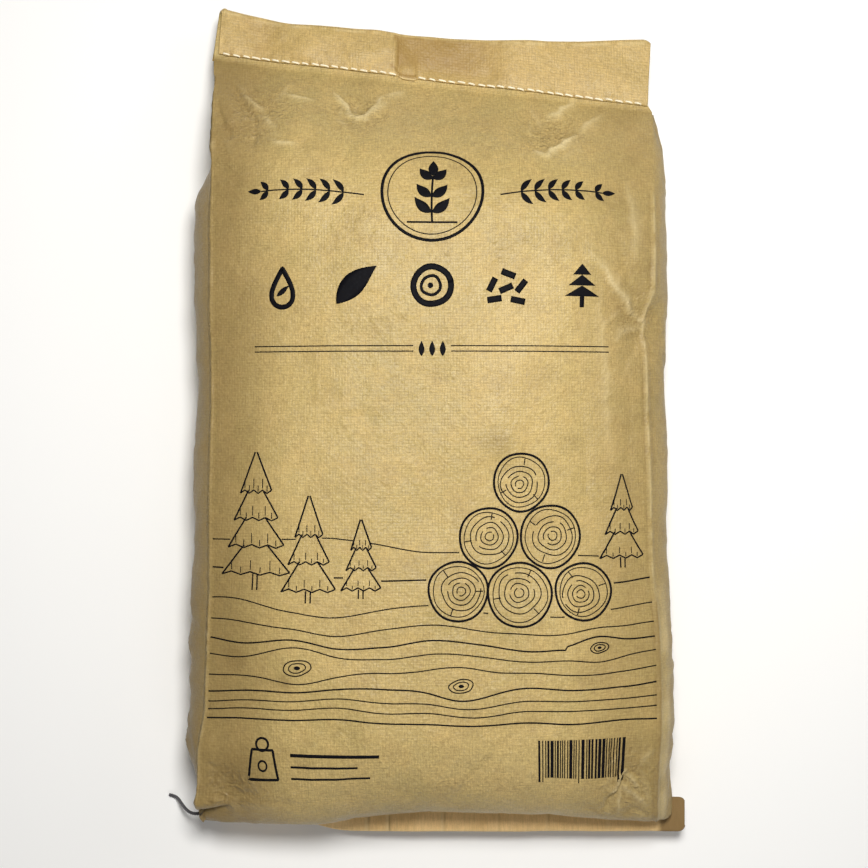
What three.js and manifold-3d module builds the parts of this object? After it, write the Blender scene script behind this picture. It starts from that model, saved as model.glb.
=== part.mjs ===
// A filled litter sack, sewn shut at both ends and lying on its back.
//
// The sack is a flat tube of kraft-faced woven film with a gusset down each side. Its mouth is folded
// over to the front and sewn with one row of chain stitch, and its bottom is bound with a folded strip
// of crepe tape and sewn through. The contents can't be seen, so the sack and its load are one solid.
// X runs across the sack, Y runs from its bottom to its mouth, and Z points up out of its front.

import * as THREE from 'three';
import Module from 'manifold-3d';
import { mergeVertices } from 'three/addons/utils/BufferGeometryUtils.js';

const wasm = await Module();
wasm.setup();

// Driving sizes, in millimetres and degrees. The empty sack:
const PANEL_WIDTH = 384; // front or back panel, crease to crease, at a sewn end
const ROW_SPACING = 637; // between the two rows of stitches, along the middle
const END_THICKNESS = 3; // the layers of both panels and gussets, pressed flat
const END_MARGIN = 6; // flat strip between a row of stitches and the load

// The filled body:
const BODY_HEIGHT = 130; // floor to the crown of the front panel
const FRONT_CREASE_HEIGHT = 97;
const BACK_CREASE_HEIGHT = 13;
const CREASE_SPAN = 373; // between the two front creases at mid length
const BACK_SPAN = 368; // between the two back creases at mid length
const LOWER_SPREAD = 10; // extra span where the load has settled
const SETTLED_LENGTH = 235; // how far up from the bottom row the load has settled
const GUSSET_BULGE_LEFT = 21;
const GUSSET_BULGE_RIGHT = 18;
const GUSSET_TUCK_DEPTH = 30; // how far a gusset folds in near the mouth
const LEFT_TUCK_LENGTH = 80; // from the mouth row to where the gusset opens out
const RIGHT_TUCK_LENGTH = 2;
const GUSSET_OPENING = 50; // the stretch over which it opens out
const BOTTOM_TUCK_DEPTH = 2;
const BOTTOM_TUCK_LENGTH = 2;
const BOTTOM_OPENING = 9;
const CROWN_POWER = 2.3; // how squarely the front panel is crowned
const FLAT_SHARE = 0.8; // share of the back panel that lies flat on the floor
const WALL_PULL = 0.55; // how far a wall keeps its direction at either end of a sweep
const SIDE_ROUNDING = 0.4; // how far a pressed side edge is rounded

// The shoulder below the mouth and the steep end above the bottom tape:
const SHOULDER_LENGTH = 150;
const BACK_SHOULDER_LENGTH = 115;
const SHOULDER_ANGLE = 30;
const HEEL_LENGTH = 78;
const BACK_HEEL_LENGTH = 62;
const HEEL_ANGLE = 116;
const RIGHT_HEEL_ANGLE = 132; // where the load leans out furthest over the tape
const RIGHT_HEEL_START = 0.25; // in half panel widths from the middle
const RIGHT_HEEL_END = 0.8;
const BACK_HEEL_ANGLE = 62;

// The mouth, folded over to the front:
const MOUTH_ROW_HEIGHT = 42; // above the floor
const MOUTH_ROW_DROP = 46; // from its left end to its right end
const MOUTH_DROOP = 6; // tilt of the folded mouth
const FLAP_LEFT = 41; // row of stitches to the fold, at the left end
const FLAP_MIDDLE = 38.5;
const FLAP_RIGHT = 59;
const FLAP_THICKNESS = 2;
const FLAP_HEM = 2; // from the row of stitches to the flap's free edge
const FLAP_SKEW = 6; // sideways slip of the free edge, because the fold runs at a slant
const FLAP_FOLD_DEPTH = 4;
const FLAP_FOLD_WIDTH = 26;
// How far across each fold lies, in half panel widths, and its depth and width in shares of those above.
const FLAP_FOLDS = [
  { across: -0.76, depth: 0.8, width: 1 },
  { across: -0.24, depth: -0.4, width: 0.7 },
  { across: 0.06, depth: 1, width: 1.5 },
  { across: 0.42, depth: -0.4, width: 0.9 },
  { across: 0.69, depth: 0.5, width: 0.8 },
];

// The bottom, bound with tape, which is turned down under the load at the left:
const BOTTOM_ROW_HEIGHT = 30;
const BOTTOM_SHIFT = 6.5; // how far the bottom seam lies to the right of the body's middle
const HEM_LENGTH = 25; // from the row of stitches to the sack's own edge
const TURNED_ROW_HEIGHT = 29;
const TURNED_OFFSET = 10; // how far the turned part of the row lies beyond the rest
const TURNED_ANGLE = 84;
const TURNED_HEEL_ANGLE = 28;
const TURNED_BACK_ANGLE = 100;
const TURN_START = -0.26; // in half panel widths from the middle
const TURN_END = -0.86;
const TAPE_THICKNESS = 0.8;
const TAPE_ABOVE_ROW = 4;
const TAPE_OVERHANG_LEFT = 17;
const TAPE_OVERHANG_RIGHT = 25;

// The threads:
const MOUTH_STITCH_PITCH = 8.6;
const BOTTOM_STITCH_PITCH = 11;
const THREAD_DIAMETER = 1.3;
const STRAND_SPACING = 2.1; // between the two strands that pass through one hole
const ROW_INSET = 5; // from a panel's crease to the first hole
const TAIL_DIAMETER = 3;
const CLEARANCE = 0.35; // between a piece and what it passes through or lies on

// Shallow dents and swellings of the front. Each lies so far across, in half panel widths, and so far
// up, in row spacings, and its depth and width are shares of these two:
const DENT_DEPTH = 5;
const DENT_WIDTH = 28;
const FRONT_DENTS = [
  { across: -0.32, up: 0.948, depth: 1.1, width: 0.9 },
  { across: 0.54, up: 0.923, depth: 1.2, width: 1.1 },
  { across: -0.78, up: 0.918, depth: 0.8, width: 0.8 },
  { across: 0.88, up: 0.666, depth: 1, width: 0.9 },
  { across: 0.31, up: 0.392, depth: 0.6, width: 2.1 },
  { across: -0.62, up: 0.314, depth: -0.6, width: 2.8 },
  { across: 0.86, up: 0.057, depth: 1, width: 1 },
  { across: -0.93, up: 0.047, depth: 1.2, width: 0.7 },
];

// How finely the surfaces are divided:
const PANEL_COLUMNS = 22;
const GUSSET_POINTS = 5;
const HEEL_STEPS = 8;
const BODY_STEPS = 11;
const SHOULDER_STEPS = 10;
const THREAD_SIDES = 5;

const { clamp, lerp, smoothstep, degToRad } = THREE.MathUtils;
const FRONT = 1;
const BACK = -1;
const MOUTH = 1;
const BOTTOM = -1;

const materials = {
  sack: new THREE.MeshStandardMaterial({ color: 0xc0a572, roughness: 0.72, metalness: 0 }),
  tape: new THREE.MeshStandardMaterial({ color: 0x977f53, roughness: 0.9, metalness: 0 }),
  mouthThread: new THREE.MeshStandardMaterial({ color: 0xeee4c6, roughness: 0.85, metalness: 0 }),
  bottomThread: new THREE.MeshStandardMaterial({ color: 0x48464b, roughness: 0.85, metalness: 0 }),
};

// The sewn ends. Each is a thin flat strip that runs along its row of stitches. A place on it is
// given by how far across the panel it lies, from -1 at the left crease to 1 at the right one.

function hump(distance, width) {
  return Math.exp(-((distance / width) ** 2));
}

function flapFoldDepth(across) {
  return FLAP_FOLDS.reduce((sum, fold) => {
    const distance = ((across - fold.across) * PANEL_WIDTH) / 2;
    return sum + fold.depth * FLAP_FOLD_DEPTH * hump(distance, fold.width * FLAP_FOLD_WIDTH);
  }, 0);
}

function turned(across) {
  return smoothstep(-across, -TURN_START, -TURN_END);
}

function exactEndFrame(end, across) {
  const half = (across * PANEL_WIDTH) / 2;
  if (end === MOUTH) {
    const tilt = degToRad(MOUTH_DROOP);
    return {
      row: new THREE.Vector3(
        half,
        ROW_SPACING - (across * MOUTH_ROW_DROP) / 2,
        MOUTH_ROW_HEIGHT - flapFoldDepth(across),
      ),
      out: new THREE.Vector3(0, Math.cos(tilt), -Math.sin(tilt)),
      front: new THREE.Vector3(0, Math.sin(tilt), Math.cos(tilt)),
    };
  }
  const share = turned(across);
  const tilt = degToRad(TURNED_ANGLE * share);
  return {
    row: new THREE.Vector3(
      half + BOTTOM_SHIFT,
      -TURNED_OFFSET * share,
      lerp(BOTTOM_ROW_HEIGHT, TURNED_ROW_HEIGHT, share),
    ),
    out: new THREE.Vector3(0, -Math.cos(tilt), -Math.sin(tilt)),
    front: new THREE.Vector3(0, -Math.sin(tilt), Math.cos(tilt)),
  };
}

function columnAcross(column) {
  return -1 + (2 * column) / PANEL_COLUMNS;
}

// The frame on the faceted strip itself, so that what is sewn through it follows its facets.
function endFrame(end, across) {
  const place = ((across + 1) / 2) * PANEL_COLUMNS;
  const column = clamp(Math.floor(place), 0, PANEL_COLUMNS - 1);
  const near = exactEndFrame(end, columnAcross(column));
  const far = exactEndFrame(end, columnAcross(column + 1));
  const share = place - column;
  const along = far.row.clone().sub(near.row).normalize();
  return {
    row: near.row.lerp(far.row, share),
    out: near.out.lerp(far.out, share),
    front: near.front.lerp(far.front, share),
    along,
  };
}

function flapHeight(across) {
  const left = (FLAP_LEFT * across * (across - 1)) / 2;
  const middle = FLAP_MIDDLE * (1 - across * across);
  const right = (FLAP_RIGHT * across * (across + 1)) / 2;
  return left + middle + right;
}

function endPoint(frame, outward, forward, sideways = 0) {
  return frame.row
    .clone()
    .addScaledVector(frame.out, outward)
    .addScaledVector(frame.front, forward)
    .add(new THREE.Vector3(sideways, 0, 0));
}

// The filled body. A place along a wall runs from 0 at the bottom strip, through 1 where the steep
// heel ends and 2 where the shoulder starts, to 3 at the mouth strip.

function wallLevel(side, across) {
  const edge = Math.abs(across);
  if (side === BACK) {
    return BACK_CREASE_HEIGHT * smoothstep(edge, FLAT_SHARE, 1);
  }
  return lerp(BODY_HEIGHT, FRONT_CREASE_HEIGHT, edge ** CROWN_POWER);
}

function bodyHalfSpan(side, y) {
  const settled = smoothstep(SETTLED_LENGTH - y, 0, SETTLED_LENGTH / 2);
  const span = side === FRONT ? CREASE_SPAN : BACK_SPAN;
  return (span + LOWER_SPREAD * settled) / 2;
}

function dent(point) {
  const depth = FRONT_DENTS.reduce((sum, spot) => {
    const aside = point.x - (spot.across * PANEL_WIDTH) / 2;
    const distance = Math.hypot(aside, point.y - spot.up * ROW_SPACING);
    return sum + spot.depth * DENT_DEPTH * hump(distance, spot.width * DENT_WIDTH);
  }, 0);
  return point.setZ(point.z - depth);
}

function sweepLength(end, side) {
  if (end === MOUTH) {
    return side === FRONT ? SHOULDER_LENGTH : BACK_SHOULDER_LENGTH;
  }
  return side === FRONT ? HEEL_LENGTH : BACK_HEEL_LENGTH;
}

// The angle at which a wall leaves the flat strip.
function sweepAngle(end, side, across) {
  if (end === MOUTH) {
    return SHOULDER_ANGLE;
  }
  const turn = turned(across);
  if (side === BACK) {
    return lerp(BACK_HEEL_ANGLE, TURNED_BACK_ANGLE, turn);
  }
  const leaning = smoothstep(across, RIGHT_HEEL_START, RIGHT_HEEL_END);
  return lerp(lerp(HEEL_ANGLE, TURNED_HEEL_ANGLE, turn), RIGHT_HEEL_ANGLE, leaning);
}

function endSweep(end, side, across, share) {
  const frame = exactEndFrame(end, across);
  const length = sweepLength(end, side);
  const angle = degToRad(sweepAngle(end, side, across));
  const start = endPoint(frame, -END_MARGIN, (side * END_THICKNESS) / 2);
  const level = wallLevel(side, across);
  const finish = new THREE.Vector3(start.x, frame.row.y - end * length, level);
  const leave = Math.abs(level - start.z) * WALL_PULL;
  const first = start
    .clone()
    .addScaledVector(frame.out, -Math.cos(angle) * leave)
    .addScaledVector(frame.front, side * Math.sin(angle) * leave);
  const second = finish.clone().add(new THREE.Vector3(0, end * length * WALL_PULL, 0));
  const curve = new THREE.CubicBezierCurve3(start, first, second, finish);
  return curve.getPoint(share);
}

function wallPoint(side, across, along) {
  let point;
  let spread = 1;
  if (along < 1) {
    point = endSweep(BOTTOM, side, across, along);
    spread = Math.sin((along * Math.PI) / 2);
  } else if (along > 2) {
    point = endSweep(MOUTH, side, across, 3 - along);
    spread = Math.sin(((3 - along) * Math.PI) / 2);
  } else {
    const low = endSweep(BOTTOM, side, across, 1);
    const high = endSweep(MOUTH, side, across, 1);
    point = low.lerp(high, along - 1);
  }
  point.x = lerp(point.x, across * bodyHalfSpan(side, point.y), spread);
  return side === FRONT ? dent(point) : point;
}

// How far a gusset's middle stands out from the line between its creases. Below zero it is tucked in.
function gussetOffset(across, y) {
  const left = across < 0;
  const bulge = left ? GUSSET_BULGE_LEFT : GUSSET_BULGE_RIGHT;
  const tuckLength = left ? LEFT_TUCK_LENGTH : RIGHT_TUCK_LENGTH;
  const fromMouth = exactEndFrame(MOUTH, across).row.y - END_MARGIN - y;
  const fromBottom = y - exactEndFrame(BOTTOM, across).row.y - END_MARGIN;
  if (fromMouth < tuckLength) {
    return -GUSSET_TUCK_DEPTH * Math.sin((Math.PI * Math.max(fromMouth, 0)) / tuckLength);
  }
  if (fromBottom < BOTTOM_TUCK_LENGTH) {
    return -BOTTOM_TUCK_DEPTH * Math.sin((Math.PI * Math.max(fromBottom, 0)) / BOTTOM_TUCK_LENGTH);
  }
  const opened = smoothstep(fromMouth - tuckLength, 0, GUSSET_OPENING);
  return bulge * opened * smoothstep(fromBottom - BOTTOM_TUCK_LENGTH, 0, BOTTOM_OPENING);
}

function gussetPoints(front, back, across) {
  const middleY = (front.y + back.y) / 2;
  const offset = gussetOffset(across, middleY);
  const outward = Math.sign(across);
  const points = [];
  for (let i = 1; i <= GUSSET_POINTS; i += 1) {
    const share = i / (GUSSET_POINTS + 1);
    const shape = offset < 0 ? 1 - Math.abs(2 * share - 1) : Math.sin(Math.PI * share) ** 0.8;
    const point = front.clone().lerp(back, share);
    point.x += outward * (offset * shape + SIDE_ROUNDING * Math.sin(Math.PI * share));
    points.push(point);
  }
  return points;
}

// Loops around the sack, each from the left front crease over the front, down the right gusset,
// back under the sack and up the left gusset.

function columns() {
  return Array.from({ length: PANEL_COLUMNS + 1 }, (_, column) => columnAcross(column));
}

function bodyLoop(along) {
  const front = columns().map((across) => wallPoint(FRONT, across, along));
  const back = columns().map((across) => wallPoint(BACK, across, along));
  return closeLoop(front, back, gussetPoints);
}

function closeLoop(front, back, sidePoints) {
  const last = PANEL_COLUMNS;
  const right = sidePoints(front[last], back[last], 1);
  const left = sidePoints(front[0], back[0], -1);
  return [...front, ...right, ...back.reverse(), ...left.reverse()];
}

function flatSide(front, back, across) {
  return Array.from({ length: GUSSET_POINTS }, (_, i) => {
    const share = (i + 1) / (GUSSET_POINTS + 1);
    const point = front.clone().lerp(back, share);
    point.x += Math.sign(across) * SIDE_ROUNDING * Math.sin(Math.PI * share);
    return point;
  });
}

function bottomLoop(outward) {
  const half = END_THICKNESS / 2;
  const frames = columns().map((across) => exactEndFrame(BOTTOM, across));
  const front = frames.map((frame) => endPoint(frame, outward, half));
  const back = frames.map((frame) => endPoint(frame, outward, -half));
  return closeLoop(front, back, flatSide);
}

// One loop of the folded mouth. The share runs from 0 at the flap's free edge to 1 at the fold, and
// the loft tapers the layers at the fold. The two strips that make up the fold lie askew.
function mouthLoop(share, layers, taper = 1) {
  const half = (END_THICKNESS / 2) * taper;
  const top = half + FLAP_THICKNESS * layers * taper;
  const slip = layers * FLAP_SKEW * (1 - share);
  const frames = columns().map((across) => ({
    ...exactEndFrame(MOUTH, across),
    outward: lerp(-FLAP_HEM, flapHeight(across), share),
  }));
  const middle = FLAP_THICKNESS * layers * 0.5 * (1 - taper);
  const front = frames.map((frame, column) => {
    const atSide = column === 0 || column === PANEL_COLUMNS;
    return endPoint(frame, frame.outward, top + middle, atSide ? slip : 0);
  });
  const back = frames.map((frame) => endPoint(frame, frame.outward, middle - half));
  const sides = (frontPoint, backPoint, across) => {
    const points = flatSide(frontPoint, backPoint, across);
    if (layers === 0) {
      return points;
    }
    const frame = frames[across < 0 ? 0 : PANEL_COLUMNS];
    const ledge = middle + half;
    const low = [endPoint(frame, frame.outward, ledge, slip), endPoint(frame, frame.outward, ledge)];
    const lower = [1, 2, 3].map((i) => {
      const point = low[1].clone().lerp(backPoint, i / 4);
      point.x += Math.sign(across) * SIDE_ROUNDING * Math.sin((Math.PI * i) / 4);
      return point;
    });
    return [...low, ...lower];
  };
  return closeLoop(front, back, sides);
}

// Lofting. The first and last loops close on a ridge, where front and back come together.

function ridge(loop) {
  const last = PANEL_COLUMNS;
  const side = GUSSET_POINTS;
  const backStart = last + 1 + side;
  const middles = [];
  for (let column = 0; column <= last; column += 1) {
    const front = loop[column];
    const back = loop[backStart + last - column];
    middles.push(front.clone().add(back).multiplyScalar(0.5));
  }
  const indexOf = (place) => {
    if (place <= last) return place;
    if (place < backStart) return last;
    if (place <= backStart + last) return last - (place - backStart);
    return 0;
  };
  return { points: middles, indexOf };
}

function loftClosed(loops) {
  const positions = [];
  const rings = loops.map((loop, i) => {
    const offset = positions.length / 3;
    const closes = i === 0 || i === loops.length - 1;
    const { points, indexOf } = closes ? ridge(loop) : { points: loop, indexOf: (place) => place };
    points.forEach((point) => positions.push(point.x, point.y, point.z));
    return loop.map((_, place) => offset + indexOf(place));
  });
  const indices = [];
  const addTriangle = (a, b, c) => {
    if (a !== b && b !== c && c !== a) {
      indices.push(a, b, c);
    }
  };
  for (let i = 0; i + 1 < rings.length; i += 1) {
    const count = rings[i].length;
    for (let j = 0; j < count; j += 1) {
      const next = (j + 1) % count;
      addTriangle(rings[i][j], rings[i + 1][next], rings[i][next]);
      addTriangle(rings[i][j], rings[i + 1][j], rings[i + 1][next]);
    }
  }
  const geometry = new THREE.BufferGeometry();
  geometry.setAttribute('position', new THREE.Float32BufferAttribute(positions, 3));
  geometry.setIndex(indices);
  return geometry;
}

// Joining and cutting closed meshes.

function toSolid(geometry) {
  const bare = geometry.clone();
  bare.deleteAttribute('normal');
  bare.deleteAttribute('uv');
  const merged = mergeVertices(bare, 1e-4);
  return new wasm.Manifold(
    new wasm.Mesh({
      numProp: 3,
      vertProperties: new Float32Array(merged.attributes.position.array),
      triVerts: new Uint32Array(merged.index.array),
    }),
  );
}

function toGeometry(solid) {
  const mesh = solid.getMesh();
  const geometry = new THREE.BufferGeometry();
  geometry.setAttribute('position', new THREE.Float32BufferAttribute(mesh.vertProperties, 3));
  geometry.setIndex(Array.from(mesh.triVerts));
  return geometry;
}

// The rows of stitches. A hole takes two strands of the thread side by side.

function stitchPlaces(end) {
  const pitch = end === MOUTH ? MOUTH_STITCH_PITCH : BOTTOM_STITCH_PITCH;
  const count = Math.floor((PANEL_WIDTH - 2 * ROW_INSET) / pitch);
  const first = -(count * pitch) / 2;
  return Array.from({ length: count + 1 }, (_, i) => (first + i * pitch) / (PANEL_WIDTH / 2));
}

function holeCutter(frame, depth) {
  const halfLength = STRAND_SPACING / 2 + THREAD_DIAMETER / 2 + CLEARANCE;
  const halfWidth = THREAD_DIAMETER / 2 + CLEARANCE;
  const outline = new THREE.Shape([
    new THREE.Vector2(-halfLength, -halfWidth),
    new THREE.Vector2(halfLength, -halfWidth),
    new THREE.Vector2(halfLength, halfWidth),
    new THREE.Vector2(-halfLength, halfWidth),
  ]);
  const geometry = new THREE.ExtrudeGeometry(outline, { depth: 2 * depth, bevelEnabled: false });
  geometry.translate(0, 0, -depth);
  const up = frame.front.clone().normalize();
  const across = new THREE.Vector3().crossVectors(up, frame.along).normalize();
  const along = new THREE.Vector3().crossVectors(across, up);
  const place = new THREE.Matrix4().makeBasis(along, across, up).setPosition(frame.row);
  return toSolid(geometry.applyMatrix4(place));
}

function pierce(geometry, end, depth) {
  const cutters = stitchPlaces(end).map((across) => holeCutter(endFrame(end, across), depth));
  return toGeometry(cutters.reduce((solid, cutter) => solid.subtract(cutter), toSolid(geometry)));
}

function sweepThread(path, radius) {
  const positions = [];
  const count = path.length;
  path.forEach(({ point, binormal }, i) => {
    const before = point.clone().sub(path[Math.max(i - 1, 0)].point).normalize();
    const after = path[Math.min(i + 1, count - 1)].point.clone().sub(point).normalize();
    const tangent = before.clone().add(after).normalize();
    const mitre = 1 / Math.max(tangent.dot(i === 0 ? after : before), 0.5);
    const lift = new THREE.Vector3().crossVectors(binormal, tangent).normalize();
    for (let side = 0; side < THREAD_SIDES; side += 1) {
      const angle = (2 * Math.PI * side) / THREAD_SIDES;
      const place = point
        .clone()
        .addScaledVector(binormal, Math.cos(angle) * radius)
        .addScaledVector(lift, Math.sin(angle) * radius * mitre);
      positions.push(place.x, place.y, place.z);
    }
  });
  const indices = [];
  for (let i = 0; i + 1 < count; i += 1) {
    for (let side = 0; side < THREAD_SIDES; side += 1) {
      const next = (side + 1) % THREAD_SIDES;
      const a = i * THREAD_SIDES + side;
      const b = i * THREAD_SIDES + next;
      indices.push(a, b, b + THREAD_SIDES, a, b + THREAD_SIDES, a + THREAD_SIDES);
    }
  }
  const last = (count - 1) * THREAD_SIDES;
  for (let side = 1; side + 1 < THREAD_SIDES; side += 1) {
    indices.push(0, side + 1, side, last, last + side, last + side + 1);
  }
  const geometry = new THREE.BufferGeometry();
  geometry.setAttribute('position', new THREE.Float32BufferAttribute(positions, 3));
  geometry.setIndex(indices);
  return geometry;
}

// The thread runs over the front from hole to hole, and at each hole one loop of it goes to the back.
function stitching(end, frontFace, backFace) {
  const radius = THREAD_DIAMETER / 2;
  const over = frontFace + CLEARANCE + radius;
  const under = -(backFace + CLEARANCE + radius);
  const path = [];
  const add = (frame, sideways, height) => {
    const front = frame.front.clone().normalize();
    const point = frame.row
      .clone()
      .addScaledVector(frame.along, sideways)
      .addScaledVector(front, height);
    path.push({ point, binormal: new THREE.Vector3().crossVectors(front, frame.along).normalize() });
  };
  stitchPlaces(end).forEach((across, i, places) => {
    const frame = endFrame(end, across);
    const half = STRAND_SPACING / 2;
    if (i > 0) {
      add(frame, -half, over);
      add(frame, -half, under);
    }
    if (i === 0 || i + 1 < places.length) {
      add(frame, half, under);
      add(frame, half, over);
    }
  });
  return sweepThread(path, radius);
}

// The crepe tape: one strip folded over the sack's bottom edge, longer than the sack is wide. Its
// section is the outer face from the front leg to the back one, and then the inner face back again.
function tapeSection() {
  const inner = END_THICKNESS / 2 + CLEARANCE;
  const outer = inner + TAPE_THICKNESS;
  const innerEdge = HEM_LENGTH + CLEARANCE;
  const outerEdge = innerEdge + TAPE_THICKNESS;
  const leg = [-TAPE_ABOVE_ROW, 0, HEM_LENGTH / 2];
  const bothSides = (half) => [...half, ...half.map(([outward, forward]) => [outward, -forward]).reverse()];
  const outside = bothSides([
    ...leg.map((outward) => [outward, outer]),
    [innerEdge, outer],
    [outerEdge, outer / 2],
  ]);
  const inside = bothSides([
    ...leg.map((outward) => [outward, inner]),
    [innerEdge - CLEARANCE, inner],
    [innerEdge, inner / 2],
  ]);
  return { points: [...outside, ...inside.reverse()], faceLength: outside.length };
}

function tapeGeometry() {
  const { points: section, faceLength } = tapeSection();
  const stations = [
    { across: -1, sideways: -TAPE_OVERHANG_LEFT },
    ...columns().map((across) => ({ across, sideways: 0 })),
    { across: 1, sideways: TAPE_OVERHANG_RIGHT },
  ];
  const positions = [];
  stations.forEach(({ across, sideways }) => {
    const frame = exactEndFrame(BOTTOM, across);
    section.forEach(([outward, forward]) => {
      const point = endPoint(frame, outward, forward, sideways);
      positions.push(point.x, point.y, point.z);
    });
  });
  const size = section.length;
  const indices = [];
  for (let i = 0; i + 1 < stations.length; i += 1) {
    for (let j = 0; j < size; j += 1) {
      const a = i * size + j;
      const b = i * size + ((j + 1) % size);
      indices.push(a, b, b + size, a, b + size, a + size);
    }
  }
  const last = (stations.length - 1) * size;
  for (let i = 0; i + 1 < faceLength; i += 1) {
    const [a, b] = [i, i + 1];
    const [c, d] = [size - 1 - b, size - 1 - a];
    indices.push(a, c, b, a, d, c);
    indices.push(last + a, last + b, last + c, last + a, last + c, last + d);
  }
  const geometry = new THREE.BufferGeometry();
  geometry.setAttribute('position', new THREE.Float32BufferAttribute(positions, 3));
  geometry.setIndex(indices);
  return outwardFacing(geometry);
}

function signedVolume(geometry) {
  const position = geometry.attributes.position;
  const index = geometry.index;
  const [a, b, c] = [new THREE.Vector3(), new THREE.Vector3(), new THREE.Vector3()];
  let sum = 0;
  for (let i = 0; i < index.count; i += 3) {
    a.fromBufferAttribute(position, index.getX(i));
    b.fromBufferAttribute(position, index.getX(i + 1));
    c.fromBufferAttribute(position, index.getX(i + 2));
    sum += a.dot(b.cross(c)) / 6;
  }
  return sum;
}

function outwardFacing(geometry) {
  if (signedVolume(geometry) < 0) {
    const indices = Array.from(geometry.index.array);
    for (let i = 0; i < indices.length; i += 3) {
      [indices[i + 1], indices[i + 2]] = [indices[i + 2], indices[i + 1]];
    }
    geometry.setIndex(indices);
  }
  return geometry;
}

// The sack.

function sackGeometry() {
  const loops = [
    bottomLoop(HEM_LENGTH),
    bottomLoop(HEM_LENGTH - END_THICKNESS / 4),
    bottomLoop(HEM_LENGTH / 2),
    bottomLoop(0),
  ];
  for (let i = 0; i <= HEEL_STEPS; i += 1) {
    loops.push(bodyLoop(i / HEEL_STEPS));
  }
  for (let i = 1; i < BODY_STEPS; i += 1) {
    loops.push(bodyLoop(1 + i / BODY_STEPS));
  }
  for (let i = 0; i <= SHOULDER_STEPS; i += 1) {
    loops.push(bodyLoop(2 + i / SHOULDER_STEPS));
  }
  loops.push(
    mouthLoop(-0.02, 0),
    mouthLoop(0, 1),
    mouthLoop(0.35, 1),
    mouthLoop(0.7, 1),
    mouthLoop(0.95, 1),
    mouthLoop(0.985, 1, 0.7),
    mouthLoop(1, 1, 0.4),
  );
  return outwardFacing(loftClosed(loops));
}

// The tail of dark thread, from the turned end of the bottom row down to the floor. The points are
// measured from the end of the tape: how far to the left, towards the mouth, and above the floor.
const TAIL_ROUTE = [
  [0.4, 0, 29],
  [3.5, -0.7, 28.9],
  [6.6, -1.2, 28.2],
  [9.6, -1.4, 26.8],
  [12.5, -1.1, 24.8],
  [15.2, -0.3, 22.3],
  [17.7, 0.9, 19.4],
  [20, 2.3, 16.3],
  [22.1, 3.7, 13.1],
  [24, 5, 9.9],
  [25.8, 6.2, 6.9],
  [27.7, 7.2, 4.3],
  [29.9, 8.1, 2.5],
  [32.5, 8.9, 1.8],
  [35.3, 9.6, 1.7],
];

function tailGeometry() {
  const end = exactEndFrame(BOTTOM, -1).row;
  const start = end.x - TAPE_OVERHANG_LEFT;
  const points = TAIL_ROUTE.map(([left, up, z]) => new THREE.Vector3(start - left, end.y + up, z));
  const curve = new THREE.CatmullRomCurve3(points);
  const section = new THREE.Shape(
    Array.from({ length: 8 }, (_, i) => {
      const angle = (Math.PI * (i + 0.5)) / 4;
      return new THREE.Vector2(Math.cos(angle), Math.sin(angle)).multiplyScalar(TAIL_DIAMETER / 2);
    }),
  );
  return new THREE.ExtrudeGeometry(section, { steps: 14, extrudePath: curve });
}

function named(name, geometry, material) {
  const mesh = new THREE.Mesh(geometry, material);
  mesh.name = name;
  return mesh;
}

const flapStack = END_THICKNESS / 2 + FLAP_THICKNESS;
const tapeStack = END_THICKNESS / 2 + CLEARANCE + TAPE_THICKNESS;
const cutDepth = flapStack + tapeStack;

function buildSack() {
  const throughMouth = pierce(sackGeometry(), MOUTH, cutDepth);
  return named('sack', pierce(throughMouth, BOTTOM, cutDepth), materials.sack);
}

const sack = buildSack();
const tape = named('bottom_tape', pierce(tapeGeometry(), BOTTOM, cutDepth), materials.tape);
const mouthThread = named(
  'top_stitching',
  outwardFacing(stitching(MOUTH, flapStack, END_THICKNESS / 2)),
  materials.mouthThread,
);
const bottomThread = named(
  'bottom_stitching',
  outwardFacing(stitching(BOTTOM, tapeStack, tapeStack)),
  materials.bottomThread,
);
const tail = named('thread_tail', tailGeometry(), materials.bottomThread);

// The origin is on the floor under the middle of everything but the loose tail.
const body = new THREE.Group();
body.add(sack, tape, mouthThread, bottomThread);
const box = new THREE.Box3().setFromObject(body);
const middle = box.getCenter(new THREE.Vector3());

const bag = new THREE.Group();
bag.name = 'litter_bag';
bag.add(...body.children, tail);
bag.position.set(-middle.x, -middle.y, -box.min.z);
bag.updateMatrixWorld(true);

export default bag;
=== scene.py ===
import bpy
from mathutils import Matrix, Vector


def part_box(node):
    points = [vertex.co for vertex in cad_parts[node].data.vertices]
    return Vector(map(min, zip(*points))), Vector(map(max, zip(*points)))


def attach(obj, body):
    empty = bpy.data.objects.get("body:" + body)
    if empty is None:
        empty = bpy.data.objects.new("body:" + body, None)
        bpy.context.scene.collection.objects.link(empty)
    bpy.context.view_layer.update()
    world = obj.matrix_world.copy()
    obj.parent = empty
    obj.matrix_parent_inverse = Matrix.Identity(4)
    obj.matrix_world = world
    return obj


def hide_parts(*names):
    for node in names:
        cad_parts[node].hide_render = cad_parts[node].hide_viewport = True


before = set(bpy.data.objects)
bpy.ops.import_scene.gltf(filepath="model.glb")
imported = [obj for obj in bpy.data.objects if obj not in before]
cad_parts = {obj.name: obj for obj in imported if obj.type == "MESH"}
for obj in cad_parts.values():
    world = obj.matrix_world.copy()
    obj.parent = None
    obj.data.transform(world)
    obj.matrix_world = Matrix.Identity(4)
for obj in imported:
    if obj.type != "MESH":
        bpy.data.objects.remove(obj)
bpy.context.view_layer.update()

import math

import bpy
import mathutils
import numpy as np

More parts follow.
